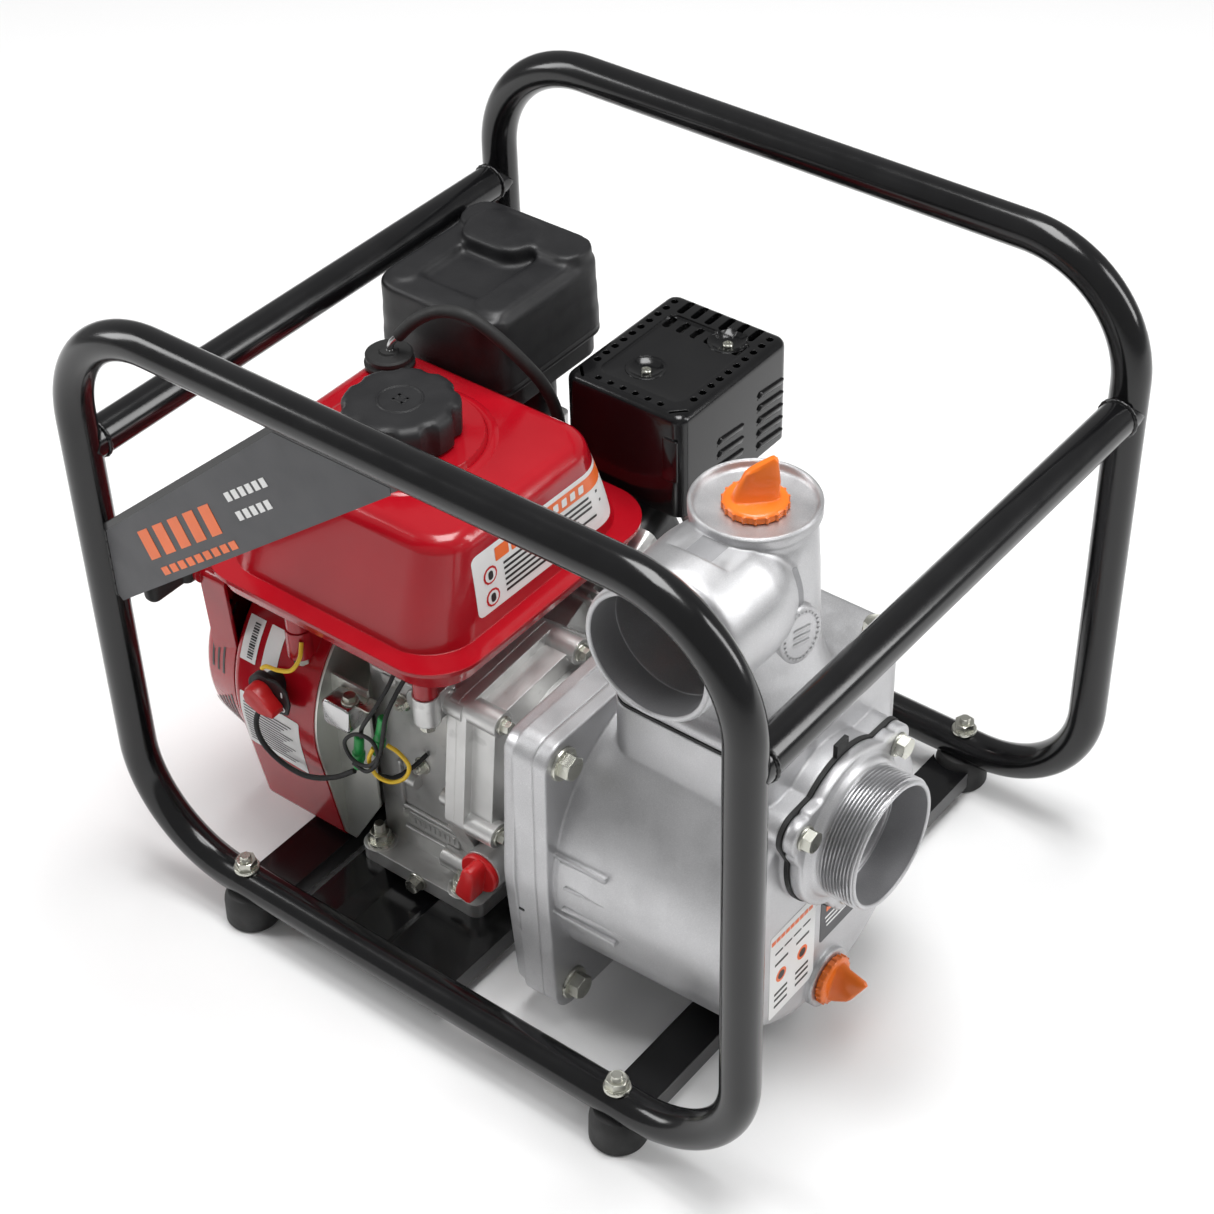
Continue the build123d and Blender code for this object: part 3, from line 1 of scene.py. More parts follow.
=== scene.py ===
import bpy
import bmesh
import json
import random
from math import cos, pi, radians, sin, sqrt
from mathutils import Matrix, Vector
from mathutils.bvhtree import BVHTree
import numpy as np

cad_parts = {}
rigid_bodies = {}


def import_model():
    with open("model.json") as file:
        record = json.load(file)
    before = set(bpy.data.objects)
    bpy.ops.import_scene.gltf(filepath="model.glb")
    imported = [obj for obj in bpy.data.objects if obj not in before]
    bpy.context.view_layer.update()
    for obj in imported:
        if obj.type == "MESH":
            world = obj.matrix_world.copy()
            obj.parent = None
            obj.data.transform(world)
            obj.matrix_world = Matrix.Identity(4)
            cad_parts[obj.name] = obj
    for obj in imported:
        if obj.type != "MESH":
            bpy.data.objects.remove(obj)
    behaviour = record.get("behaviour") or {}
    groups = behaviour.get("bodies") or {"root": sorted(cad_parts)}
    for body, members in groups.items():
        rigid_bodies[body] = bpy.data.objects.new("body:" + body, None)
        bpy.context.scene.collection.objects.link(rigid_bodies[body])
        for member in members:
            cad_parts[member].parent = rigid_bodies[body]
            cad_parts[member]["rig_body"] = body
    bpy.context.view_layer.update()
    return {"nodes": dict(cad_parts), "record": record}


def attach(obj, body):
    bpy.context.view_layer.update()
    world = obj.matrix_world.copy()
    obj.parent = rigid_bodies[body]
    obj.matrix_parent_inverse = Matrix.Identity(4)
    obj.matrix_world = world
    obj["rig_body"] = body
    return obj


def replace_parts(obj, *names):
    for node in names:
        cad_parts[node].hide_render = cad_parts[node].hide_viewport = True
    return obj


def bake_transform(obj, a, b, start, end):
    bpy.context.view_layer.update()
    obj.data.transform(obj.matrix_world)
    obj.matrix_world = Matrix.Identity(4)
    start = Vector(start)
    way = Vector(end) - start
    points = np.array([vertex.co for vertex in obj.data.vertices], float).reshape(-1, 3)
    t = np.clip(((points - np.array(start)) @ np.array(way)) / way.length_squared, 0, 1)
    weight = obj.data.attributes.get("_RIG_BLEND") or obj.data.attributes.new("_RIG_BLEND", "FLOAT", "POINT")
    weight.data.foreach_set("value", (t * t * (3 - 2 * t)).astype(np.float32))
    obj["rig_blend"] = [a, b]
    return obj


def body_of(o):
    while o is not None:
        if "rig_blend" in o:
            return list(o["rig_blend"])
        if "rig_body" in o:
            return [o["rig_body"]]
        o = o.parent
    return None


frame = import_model()

# Lengths below are in mm unless they go straight to bpy.
MM = 0.001
X, Y, Z = (1, 0, 0), (0, 1, 0), (0, 0, 1)
DOWN, NEAR = (0, 0, -1), (0, -1, 0)
AX_Y, AX_Z = -48.0, 129.5        # crankshaft and pump axis
HALF_W, TUBE_R, TUBE_Z = 202.0, 12.5, 33.0   # side loops: middle plane, tube radius, lower tube's height
FEET = [(sx * 158, sy * HALF_W) for sx in (1, -1) for sy in (1, -1)]
PORT_Z, PORT_BOLT_R, PORT_BOLTS = 186.0, 58.0, (30, 150, 270)
ELBOW_X, SPOUT_Z = 147.0, 354.0
ELBOW_BASE = (140.0, -32.0)
ELBOW_BOLTS = [(ELBOW_BASE[0] + sx * 44, ELBOW_BASE[1] + sy * 61) for sx in (1, -1) for sy in (1, -1)]
CAP_X, CAP_Y = -133.0, -40.0
GUARD_TOP = 315.0
GUARD_SCREWS = [(-60.0, 121.0), (-34.0, 178.0)]
COVER_BOLTS = [(-113, 197), (-124, 108), (-100, 50), (-34, 203), (20, 150), (16, 46)]
rng = random.Random(7)


# ---------------------------------------------------------------- camera
def make_camera():
    """Camera at the photograph's viewing angle; place in metres, angles in radians."""
    yaw, pitch, roll = 0.679, 0.6931, -0.0295
    back = Vector((sin(yaw) * cos(pitch), -cos(yaw) * cos(pitch), sin(pitch)))
    level = (-back).cross(Vector(Z)).normalized()
    upright = level.cross(-back)
    right = cos(roll) * level + sin(roll) * upright
    up = -sin(roll) * level + cos(roll) * upright
    data = bpy.data.cameras.new("camera")
    data.lens = 75.3
    data.sensor_width = 36.0
    data.clip_start = 0.05
    cam = bpy.data.objects.new("camera", data)
    bpy.context.scene.collection.objects.link(cam)
    rot = Matrix((right, up, back)).transposed().to_4x4()
    cam.matrix_world = Matrix.Translation((0.7968, -0.9897, 1.2718)) @ rot
    bpy.context.scene.camera = cam


make_camera()
bpy.context.scene.view_settings.view_transform = "Standard"


# ---------------------------------------------------------------- materials
def material(name, color, rough=0.4, metal=0.0, coat=0.0, grain=900.0, bump=0.1, blotch=0.08, edge=0.0006,
             wear=0.0, sparkle=0.0, spec=0.5):
    """Painted, cast or moulded surface: uneven colour and gloss, grain relief and rounded edges."""
    m = bpy.data.materials.new(name)
    m.use_nodes = True
    nt = m.node_tree
    bsdf = nt.nodes["Principled BSDF"]
    link = nt.links.new
    coords = nt.nodes.new("ShaderNodeTexCoord")
    for socket, value in (("Metallic", metal), ("Coat Weight", coat), ("Coat Roughness", 0.06),
                          ("Specular IOR Level", spec)):
        bsdf.inputs[socket].default_value = value

    def tex(scale, detail=3.0):
        n = nt.nodes.new("ShaderNodeTexNoise")
        n.inputs["Scale"].default_value = scale
        n.inputs["Detail"].default_value = detail
        link(coords.outputs["Object"], n.inputs["Vector"])
        return n.outputs["Fac"]

    def remap(source, low, high, start=0.3, end=0.7):
        r = nt.nodes.new("ShaderNodeMapRange")
        for socket, value in (("From Min", start), ("From Max", end), ("To Min", low), ("To Max", high)):
            r.inputs[socket].default_value = value
        link(source, r.inputs["Value"])
        return r.outputs["Result"]

    def mix(factor, first, second):
        """Blend of two colours, the first of which may come from another node."""
        x = nt.nodes.new("ShaderNodeMix")
        x.data_type = "RGBA"
        if isinstance(first, bpy.types.NodeSocket):
            link(first, x.inputs["A"])
        else:
            x.inputs["A"].default_value = (*first, 1)
        x.inputs["B"].default_value = (*second, 1)
        link(factor, x.inputs["Factor"])
        return x.outputs["Result"]

    darker = [c * (1 - blotch) for c in color]
    lighter = [min(1.0, c * (1 + blotch) + 0.002) for c in color]
    shade = mix(remap(tex(24.0), 0.0, 1.0), darker, lighter)
    if sparkle:
        shade = mix(remap(tex(2600.0, 1.0), 0.0, sparkle, 0.45, 0.75), shade, (0.95, 0.95, 0.95))
    if wear:
        shade = mix(remap(tex(70.0, 8.0), 0.0, wear, 0.62, 0.72), shade, [c * 0.55 for c in color])
    link(shade, bsdf.inputs["Base Color"])
    link(remap(tex(55.0, 5.0), max(0.02, rough * 0.82), min(1.0, rough * 1.2)), bsdf.inputs["Roughness"])
    relief = nt.nodes.new("ShaderNodeBump")
    relief.inputs["Strength"].default_value = bump
    relief.inputs["Distance"].default_value = 0.0004
    link(tex(grain, 2.0), relief.inputs["Height"])
    if edge:
        bevel = nt.nodes.new("ShaderNodeBevel")
        bevel.samples = 4
        bevel.inputs["Radius"].default_value = edge
        link(bevel.outputs["Normal"], relief.inputs["Normal"])
    link(relief.outputs["Normal"], bsdf.inputs["Normal"])
    return m


MAT = {
    "black": material("frame_black", (0.004, 0.004, 0.0045), rough=0.17, coat=0.12, grain=420, bump=0.05,
                      edge=0.001,
                      spec=0.42),
    "silver": material("cast_silver", (0.50, 0.50, 0.51), rough=0.40, metal=0.8, grain=2400, bump=0.16,
                       sparkle=0.35, edge=0.003, blotch=0.05),
    "thread": material("turned_silver", (0.50, 0.50, 0.51), rough=0.36, metal=0.85, grain=1400, bump=0.05,
                       edge=0),
    "raw": material("raw_casting", (0.60, 0.60, 0.59), rough=0.38, metal=0.75, grain=700, bump=0.22,
                    wear=0.35,
                    edge=0.001, blotch=0.12),
    "bore": material("bore_grey", (0.30, 0.30, 0.31), rough=0.5, metal=0.5, grain=1600, bump=0.3,
                     sparkle=0.1),
    "red": material("red_enamel", (0.37, 0.003, 0.010), rough=0.2, coat=0.25, spec=0.4, grain=300, bump=0.02,
                    edge=0.0012,
                    blotch=0.04),
    "zinc": material("zinc_plate", (0.56, 0.56, 0.50), rough=0.28, metal=1.0, grain=900, bump=0.12, wear=0.3,
                     edge=0.0004),
    "sheet": material("zinc_sheet", (0.66, 0.67, 0.63), rough=0.34, metal=0.75, grain=900, bump=0.1,
                      wear=0.15, edge=0.0006),
    "can": material("sensor_can", (0.58, 0.60, 0.57), rough=0.32, metal=0.7, grain=900, bump=0.1,
                    edge=0.0008),
    "steel": material("bright_steel", (0.55, 0.55, 0.55), rough=0.25, metal=1.0, grain=1500, bump=0.08),
    "iron": material("cast_iron", (0.16, 0.16, 0.165), rough=0.55, metal=0.6, grain=900, bump=0.4),
    "rubber": material("rubber", (0.012, 0.012, 0.012), rough=0.62, grain=700, bump=0.2),
    "plastic": material("black_plastic", (0.010, 0.010, 0.011), rough=0.44, grain=1300, bump=0.22, edge=0.001,
                        spec=0.4),
    "orange": material("orange_plastic", (0.86, 0.17, 0.008), rough=0.3, coat=0.2, grain=800, bump=0.06,
                       edge=0.0012),
    "redplastic": material("red_plastic", (0.55, 0.01, 0.012), rough=0.35, grain=800, bump=0.06, edge=0.0008),
    "foam": material("foam", (0.02, 0.02, 0.02), rough=0.9, grain=500, bump=1.0),
    "rope": material("rope", (0.6, 0.58, 0.52), rough=0.8, grain=1500, bump=0.6),
    "white": material("label_white", (0.80, 0.80, 0.79), rough=0.35, grain=600, bump=0.02, edge=0,
                      blotch=0.02),
    "grey": material("label_grey", (0.035, 0.035, 0.04), rough=0.35, grain=600, bump=0.03, edge=0,
                     blotch=0.05),
    # Near-black for print and a dark joint, also used as painted shade for the guard's louvre gaps and the
    # recoil dome's slots.
    "ink_and_shade": material("label_ink_and_shade", (0.02, 0.02, 0.02), rough=0.4, grain=600, bump=0.02, edge=0),
    "label_orange": material("label_orange", (0.85, 0.16, 0.03), rough=0.35, grain=600, bump=0.02, edge=0),
    "yellow": material("wire_yellow", (0.85, 0.55, 0.02), rough=0.4, grain=600, bump=0.05, edge=0),
    "green": material("connector_green", (0.01, 0.30, 0.06), rough=0.35, grain=600, bump=0.05, edge=0.0004),
}
SLOTS = {
    "black_frame": "black", "black_rubber": "rubber", "zinc_steel": "zinc", "pump_aluminium": "silver",
    "raw_aluminium": "raw", "cast_iron": "iron", "bright_steel": "steel", "red_paint": "red",
    "black_plastic": "plastic", "orange_plastic": "orange", "foam": "foam", "rope": "rope",
}


def paint(obj, mat):
    """Give a piece one finish."""
    obj.data.materials.clear()
    obj.data.materials.append(MAT[mat])


def smooth_by_angle(obj, angle=32):
    """Shade smooth, with sharp edges where faces meet at more than the angle in degrees."""
    for p in obj.data.polygons:
        p.use_smooth = True
    obj.data.set_sharp_from_angle(angle=radians(angle))


for part in frame["record"]["subparts"]:
    node = frame["nodes"][part["node"]]
    paint(node, SLOTS[part["material_slot"]])
paint(frame["nodes"]["shroud_plate"], "sheet")


# ---------------------------------------------------------------- geometry helpers
def grid(rows, columns, loop_rows=False, loop_columns=True):
    """Quads of a vertex grid that is stored row by row."""
    faces = []
    for k in range(rows if loop_rows else rows - 1):
        low, high = k * columns, (k + 1) % rows * columns
        for i in range(columns if loop_columns else columns - 1):
            j = (i + 1) % columns
            faces.append((low + i, low + j, high + j, high + i))
    return faces


def ends(rows, columns):
    """Flat faces that close a grid's first and last row."""
    return [tuple(range(columns))[::-1], tuple(range((rows - 1) * columns, rows * columns))]


def circle(centre, u, v, r, segs):
    """Points of a circle in the plane of two unit vectors."""
    turns = [2 * pi * k / segs for k in range(segs)]
    return [centre + (u * cos(a) + v * sin(a)) * r for a in turns]


def add_mesh(name, verts, faces, mat, body="base", angle=32):
    """Object from points in mm, riding on a body."""
    me = bpy.data.meshes.new(name)
    me.from_pydata([Vector(v) * MM for v in verts], [], faces)
    bm = bmesh.new()
    bm.from_mesh(me)
    bmesh.ops.remove_doubles(bm, verts=bm.verts, dist=1e-6)
    bmesh.ops.recalc_face_normals(bm, faces=bm.faces)
    bm.to_mesh(me)
    bm.free()
    ob = bpy.data.objects.new(name, me)
    bpy.context.scene.collection.objects.link(ob)
    me.materials.append(MAT[mat])
    smooth_by_angle(ob, angle)
    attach(ob, body)
    return ob


def basis(axis, side=None):
    """Right-handed (u, v, w) with w along axis, and u as near side as it can be."""
    w = Vector(axis).normalized()
    ref = Vector(side or (Z if abs(w.z) < 0.9 else X))
    u = (ref - ref.dot(w) * w).normalized()
    return u, w.cross(u), w


def lathe(name, origin, axis, profile, mat, body="base", segs=64, angle=32, closed=False):
    """Turned piece: profile is (height, radius) along the axis; closed joins its last point to its first."""
    u, v, w = basis(axis)
    o = Vector(origin)
    verts = []
    for i in range(segs):
        a = 2 * pi * i / segs
        d = u * cos(a) + v * sin(a)
        verts += [o + w * h + d * r for h, r in profile]
    return add_mesh(name, verts, grid(segs, len(profile), True, closed), mat, body, angle)


def shank(origin, axis, r, length, segs=64):
    """Plain shank of a screw."""
    return lathe("shank", origin, axis, [(0, 0), (0, r), (length, r), (length, 0)], "zinc", segs=segs)


def prism(name, outline, origin, axis, side, height, mat, body="base", bevel=0.0, angle=32, segments=2):
    """Straight piece: a 2D outline in (side, across) pushed along the axis."""
    u, v, w = basis(axis, side)
    o = Vector(origin)
    n = len(outline)
    base = [o + u * x + v * y for x, y in outline]
    ob = add_mesh(name, base + [p + w * height for p in base], ends(2, n) + grid(2, n), mat, body, angle)
    if bevel:
        soften(ob, bevel, segments)
    return ob


def soften(ob, width, segments=2):
    """Round the edges sharper than 30 degrees."""
    mod = ob.modifiers.new("edge", "BEVEL")
    mod.width = width * MM
    mod.segments = segments
    mod.limit_method = "ANGLE"
    mod.angle_limit = radians(30)
    mod.harden_normals = False


def rounded(w, h, r, n=6):
    """Rounded rectangle outline centred on zero."""
    x, y = w / 2 - r, h / 2 - r
    pts = []
    for cx, cy, start in ((x, y, 0), (-x, y, 90), (-x, -y, 180), (x, -y, 270)):
        for i in range(n + 1):
            a = radians(start + 90 * i / n)
            pts.append((cx + r * cos(a), cy + r * sin(a)))
    return pts


def ring(r, n=24):
    """Round outline centred on zero."""
    return [(r * cos(2 * pi * i / n), r * sin(2 * pi * i / n)) for i in range(n)]


def smooth_run(points, steps=8):
    """Flowing curve through a lead's points."""
    pts = [Vector(p) for p in points]
    pts = [2 * pts[0] - pts[1]] + pts + [2 * pts[-1] - pts[-2]]
    out = []
    for a, b, c, d in zip(pts, pts[1:], pts[2:], pts[3:]):
        for i in range(steps):
            t = i / steps
            out.append(0.5 * (2 * b + (c - a) * t + (2 * a - 5 * b + 4 * c - d) * t * t
                              + (3 * b - a - 3 * c + d) * t ** 3))
    return out + [pts[-2]]


def tube(name, points, r, mat, segs=14):
    """Round cord or rod flowing through its points."""
    path = smooth_run(points)
    last = len(path) - 1
    u = basis(path[1] - path[0])[0]
    verts = []
    for i, p in enumerate(path):
        along = (path[min(i + 1, last)] - path[max(i - 1, 0)]).normalized()
        u = (u - u.dot(along) * along).normalized()
        verts += circle(p, u, along.cross(u), r, segs)
    return add_mesh(name, verts, grid(len(path), segs) + ends(len(path), segs), mat)


def join(name, obs):
    """One object from several pieces, keeping each one's finish."""
    dg = bpy.context.evaluated_depsgraph_get()
    bm = bmesh.new()
    mats = []
    for ob in obs:
        me = bpy.data.meshes.new_from_object(ob.evaluated_get(dg))
        me.transform(ob.matrix_world)
        offset = []
        for m in me.materials:
            if m not in mats:
                mats.append(m)
            offset.append(mats.index(m))
        for p in me.polygons:
            p.material_index = offset[p.material_index]
        bm.from_mesh(me)
        bpy.data.meshes.remove(me)
    me = bpy.data.meshes.new(name)
    bm.to_mesh(me)
    bm.free()
    for m in mats:
        me.materials.append(m)
    body = body_of(obs[0])[0]
    for ob in obs:
        bpy.data.objects.remove(ob)
    out = bpy.data.objects.new(name, me)
    bpy.context.scene.collection.objects.link(out)
    smooth_by_angle(out)
    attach(out, body)
    return out


def bolt(origin, axis, flats, head, washer_r, washer, shank_r=0.0, shank_h=0.0, turn=0.0):
    """Chamfered hexagon head or nut on a washer, with a dished top or a threaded stud end."""
    u, v, w = basis(axis)
    o = Vector(origin)
    pieces = [lathe("washer", o, axis, [(0, 0), (0, washer_r), (washer * 0.6, washer_r),
                                        (washer, washer_r - 0.5), (washer, 0)], "zinc", segs=32)]
    segs, half, top = 48, flats / 2, washer + head
    chamfer = half * 0.985
    dish = 0.3 if shank_h else 0.5
    rows = ([], [], [], [])
    for i in range(segs):
        a = 2 * pi * i / segs
        r_hex = half / cos(a % (pi / 3) - pi / 6)
        d = u * cos(a + turn) + v * sin(a + turn)
        rows[0].append(o + d * r_hex + w * washer)
        rows[1].append(o + d * r_hex + w * (top - (r_hex - chamfer) * 0.55))
        rows[2].append(o + d * chamfer + w * top)
        rows[3].append(o + d * half * 0.62 + w * (top - dish))
    pieces.append(add_mesh("head", sum(rows, []), grid(4, segs) + ends(4, segs)[1:], "zinc", angle=25))
    if shank_h:
        end = top + shank_h
        profile = [(washer, shank_r)]
        z = top
        while z < end - 0.6:
            profile += [(z, shank_r), (z + 0.5, shank_r - 0.35)]
            z += 1.0
        profile += [(end, shank_r - 0.5), (end, 0)]
        pieces.append(lathe("stud", o, axis, profile, "zinc", segs=24, angle=50))
    return pieces


def bead(name, centre, axis, radius, thick, lumps):
    """Weld bead laid round a joint: overlapping half-round ripples."""
    u, v, w = basis(axis)
    o = Vector(centre)
    count, segs = lumps * 3, 8
    verts = []
    for i in range(count + 1):
        a = 2 * pi * i / count
        d = u * cos(a) + v * sin(a)
        size = thick * (0.86 + 0.22 * abs(sin(i * pi / 3)) + 0.08 * rng.random())
        verts += circle(o + d * radius, d, w, size, segs)
    return add_mesh(name, verts, grid(count + 1, segs), "black", angle=60)


def weld_line(name, a, b, thick):
    """Straight weld bead with tapered ends."""
    a, b = Vector(a), Vector(b)
    count, segs = max(4, int((b - a).length / 2.2)), 8
    u, v, _ = basis(b - a)
    verts = []
    for i in range(count + 1):
        size = thick * (0.84 + 0.24 * abs(sin(i * pi / 2.5)) + 0.1 * rng.random())
        if i in (0, count):
            size *= 0.35
        verts += circle(a.lerp(b, i / count), u, v, size, segs)
    return add_mesh(name, verts, grid(count + 1, segs) + ends(count + 1, segs), "black", angle=60)


# ---------------------------------------------------------------- stage
def stage():
    """Pale floor, even surroundings and three soft lights, in metres and watts."""
    floor_me = bpy.data.meshes.new("floor")
    half = 6.0
    corners = [(-half, -half, 0), (half, -half, 0), (half, half, 0), (-half, half, 0)]
    floor_me.from_pydata(corners, [], [(0, 1, 2, 3)])
    floor = bpy.data.objects.new("floor", floor_me)
    bpy.context.scene.collection.objects.link(floor)
    m = bpy.data.materials.new("floor_white")
    m.use_nodes = True
    nt = m.node_tree
    b = nt.nodes["Principled BSDF"]
    n = nt.nodes.new("ShaderNodeTexNoise")
    n.inputs["Scale"].default_value = 3.0
    c = nt.nodes.new("ShaderNodeMix")
    c.data_type = "RGBA"
    c.inputs["A"].default_value = (0.90, 0.90, 0.90, 1)
    c.inputs["B"].default_value = (0.93, 0.93, 0.93, 1)
    nt.links.new(n.outputs["Fac"], c.inputs["Factor"])
    nt.links.new(c.outputs["Result"], b.inputs["Base Color"])
    b.inputs["Roughness"].default_value = 0.7
    b.inputs["Specular IOR Level"].default_value = 0.1
    floor_me.materials.append(m)
    world = bpy.data.worlds.new("world")
    bpy.context.scene.world = world
    world.use_nodes = True
    bg = world.node_tree.nodes["Background"]
    bg.inputs["Color"].default_value = (1, 1, 1, 1)
    bg.inputs["Strength"].default_value = 0.30

    def softbox(name, loc, target, size, power):
        data = bpy.data.lights.new(name, "AREA")
        data.shape = "RECTANGLE"
        data.size, data.size_y = size
        data.energy = power
        ob = bpy.data.objects.new(name, data)
        bpy.context.scene.collection.objects.link(ob)
        direction = Vector(target) - Vector(loc)
        ob.matrix_world = Matrix.Translation(loc) @ direction.to_track_quat("-Z", "Y").to_matrix().to_4x4()

    softbox("key", (0.1, 0.1, 2.6), (0, 0, 0.2), (1.5, 1.1), 58)
    softbox("left", (-2.0, -1.1, 1.5), (0, 0, 0.2), (0.6, 1.6), 26)
    softbox("right", (1.9, 1.2, 1.5), (0, 0, 0.2), (0.6, 1.6), 26)


stage()


# ---------------------------------------------------------------- frame: welds, bolts, label plate
def frame_tube(name, y):
    """Closed tube loop with four round bends."""
    half_l, high, bend, segs, steps = 250.0, 461.0, 80.0, 40, 24
    verts = []
    for side, z, start in ((1, high - bend, 0), (-1, high - bend, 90), (-1, TUBE_Z + bend, 180),
                           (1, TUBE_Z + bend, 270)):
        for i in range(steps + 1):
            a = radians(start + 90 * i / steps)
            d = Vector((cos(a), 0, sin(a)))
            centre = Vector((side * (half_l - bend), y, z)) + d * bend
            verts += circle(centre, d, Vector(Y), TUBE_R, segs)
    return add_mesh(name, verts, grid(4 * (steps + 1), segs, loop_rows=True), "black", angle=60)


def frame_details():
    """Tubes of the side loops, weld beads at every joint, and the foot bolts."""
    for node in ("crossbar_front", "crossbar_rear"):
        smooth_by_angle(frame["nodes"][node], 40)
    for side, node in ((-1, "side_loop_near"), (1, "side_loop_far")):
        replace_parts(frame_tube(node + "_detail", side * HALF_W), node)
    for x, z in ((250, 362), (-250, 357)):
        for side in (-1, 1):
            bead("crossbar_weld", (x, side * (HALF_W - 12.4), z), Y, 12.4, 1.5, lumps=22)
    for x0, x1, top in ((142, 172, 22), (-171, -136, 24), (-121, -98, 24), (-48, 8, 24)):
        for side in (-1, 1):
            y = side * (HALF_W - sqrt(TUBE_R ** 2 - (TUBE_Z - top) ** 2) - 0.4)
            weld_line("channel_weld", (x0 + 3, y, top + 0.6), (x1 - 3, y, top + 0.6), 1.8)
    plate_y = -HALF_W - 2.6
    weld_line("plate_weld", (-238.5, plate_y, 246), (-238.5, plate_y, 302), 1.8)
    weld_line("plate_weld", (-70, plate_y, 449.6), (22, plate_y, 449.6), 1.8)
    pieces = []
    for x, y in FEET:
        pieces += bolt((x, y, 45.55), Z, 13, 6.0, 9.0, 2.0, 3.9, 3.4, turn=rng.random())
        pieces.append(lathe("stud", (x, y, 2.5), Z, [(0, 0), (0, 7.5), (3.4, 7.5), (3.4, 3.9), (44, 3.9),
                                                     (44, 0)],
                            "zinc"))
    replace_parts(join("foot_bolts_detail", pieces), "foot_bolts")


def rubber_feet():
    """Four turned feet, hollow for the stud's head and cupped under the tube."""
    profile = [(0.0, 9.2), (0.0, 16.5), (0.8, 18.3), (2.2, 19.0), (17.0, 18.6), (20.0, 18.2), (23.5, 17.0),
               (26.0, 15.5), (26.6, 13.0), (26.0, 4.3), (6.2, 4.3), (6.0, 9.2)]
    feet = [lathe("foot", (x, y, 0), Z, profile, "rubber", segs=48, closed=True) for x, y in FEET]
    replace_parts(join("rubber_feet_detail", feet), "rubber_feet")


def flat_label(name, outline, mat, origin, side, up, thick=0.25):
    """Thin sticker: outline in (side, up), its face pointing along side x up."""
    u, v = Vector(side).normalized(), Vector(up).normalized()
    return prism(name, outline, origin, u.cross(v), u, thick, mat)


def block(x, z):
    """Rectangle with one corner at zero."""
    return [(0, 0), (x, 0), (x, z), (0, z)]


def label_plate():
    """Dark sheet across the loop corner, with plain orange and white marks where lettering would be."""
    y = -206.0
    outline = [(-236, 250), (-232, 246), (16, 441), (16, 446), (-72, 446), (-236, 301)]
    flat_label("plate_face", outline, "grey", (0, y, 0), X, Z, thick=0.2)
    slope = radians(37.5)
    along, across = Vector((cos(slope), 0, sin(slope))), Vector((-sin(slope), 0, cos(slope)))
    start = Vector((-196, y, 296))
    marks = []

    def mark(shape, mat, x, z):
        marks.append(flat_label("mark", shape, mat, start + along * x + across * z, along, across,
                                thick=0.45))

    for i in range(5):
        mark([(0, 0), (12, 0), (15, 20), (3, 20)], "label_orange", i * 19, 0)
    for i in range(9):
        mark(block(7.5, 5.5), "label_orange", 4 + i * 10.4, -12)
    for z, count in ((16, 6), (3, 5)):
        for i in range(count):
            mark(block(5.5, 6.0), "white", 112 + i * 8, z)
    join("plate_marks", marks)


# ---------------------------------------------------------------- pump
def thread_sleeve(name, origin, axis, r_root, start, end, pitch):
    """Male thread: one helical ridge on a sleeve, closed at both ends."""
    r_crest, r_in = 44.0, 41.0
    u, v, w = basis(axis)
    o = Vector(origin)
    segs = 96
    steps = int((end - start) / pitch * 8)
    verts = circle(o + w * start, u, v, r_in, segs)
    for k in range(steps + 1):
        h = start + (end - start) * k / steps
        fade = min(1.0, (h - start) / pitch, (end - h) / pitch)
        for i in range(segs):
            a = 2 * pi * i / segs
            phase = ((h - start) / pitch + i / segs) % 1.0
            ridge = min(1.0, max(0.0, 1.35 - abs(phase - 0.5) * 4.2))
            r = r_root + (r_crest - r_root) * ridge * fade
            verts.append(o + w * h + (u * cos(a) + v * sin(a)) * r)
    verts += circle(o + w * end, u, v, r_in, segs)
    return add_mesh(name, verts, grid(steps + 3, segs, loop_rows=True), "thread", angle=40)


def lobed_outline(plain_r, ear_r, points=180):
    """Round flange outline that swells out to an ear at each bolt of the suction port."""
    outline = []
    for i in range(points):
        a = 2 * pi * i / points
        r = plain_r
        for b in PORT_BOLTS:
            d = (a - radians(b) + pi) % (2 * pi) - pi
            if abs(d) < 0.9:
                off = PORT_BOLT_R * sin(d)
                if abs(off) < ear_r:
                    r = max(r, PORT_BOLT_R * cos(d) + sqrt(ear_r ** 2 - off ** 2))
                else:
                    r = max(r, plain_r + max(0.0, 9 * (1 - (abs(off) - ear_r) / 10)))
        outline.append((r * cos(a), r * sin(a)))
    return outline


def suction_side():
    """Suction connector: lobed flange, fillet, threaded mouth; three bolts."""
    o = (0, AX_Y, PORT_Z)
    pieces = [prism("flange", lobed_outline(54.0, 13.0), (213.05, AX_Y, PORT_Z), X, Y, 7.9, "silver",
                    bevel=1.2)]
    pieces.append(lathe("neck", o, X, [(220.5, 50.5), (222.0, 47.6), (224.2, 46.4), (225.6, 44.6),
                                       (226.5, 42.0),
                                       (226.5, 36), (220.5, 36)], "silver", closed=True, segs=96))
    pieces.append(thread_sleeve("thread", o, X, 42.0, 226.0, 251.0, 2.3))
    pieces.append(lathe("rim", o, X, [(250.4, 42.4), (251.0, 42.4), (251.5, 41.8), (251.5, 40.3),
                                      (251.0, 39.6),
                                      (250.4, 39.5)], "silver", closed=True, segs=96))
    pieces.append(lathe("bore", o, X, [(250.5, 41.2), (250.5, 39.5), (218.2, 39.5), (218.0, 33.5),
                                       (213.1, 33.0),
                                       (213.1, 41.2)], "bore", closed=True, segs=96))
    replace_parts(join("suction_flange_detail", pieces), "suction_flange")
    bolts = []
    for b in PORT_BOLTS:
        y, z = AX_Y + PORT_BOLT_R * cos(radians(b)), PORT_Z + PORT_BOLT_R * sin(radians(b))
        bolts += bolt((221.05, y, z), X, 13, 6.2, 8.2, 1.6, turn=rng.random())
        bolts.append(shank((198, y, z), X, 3.9, 24))
    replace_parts(join("suction_bolts_detail", bolts), "suction_bolts")


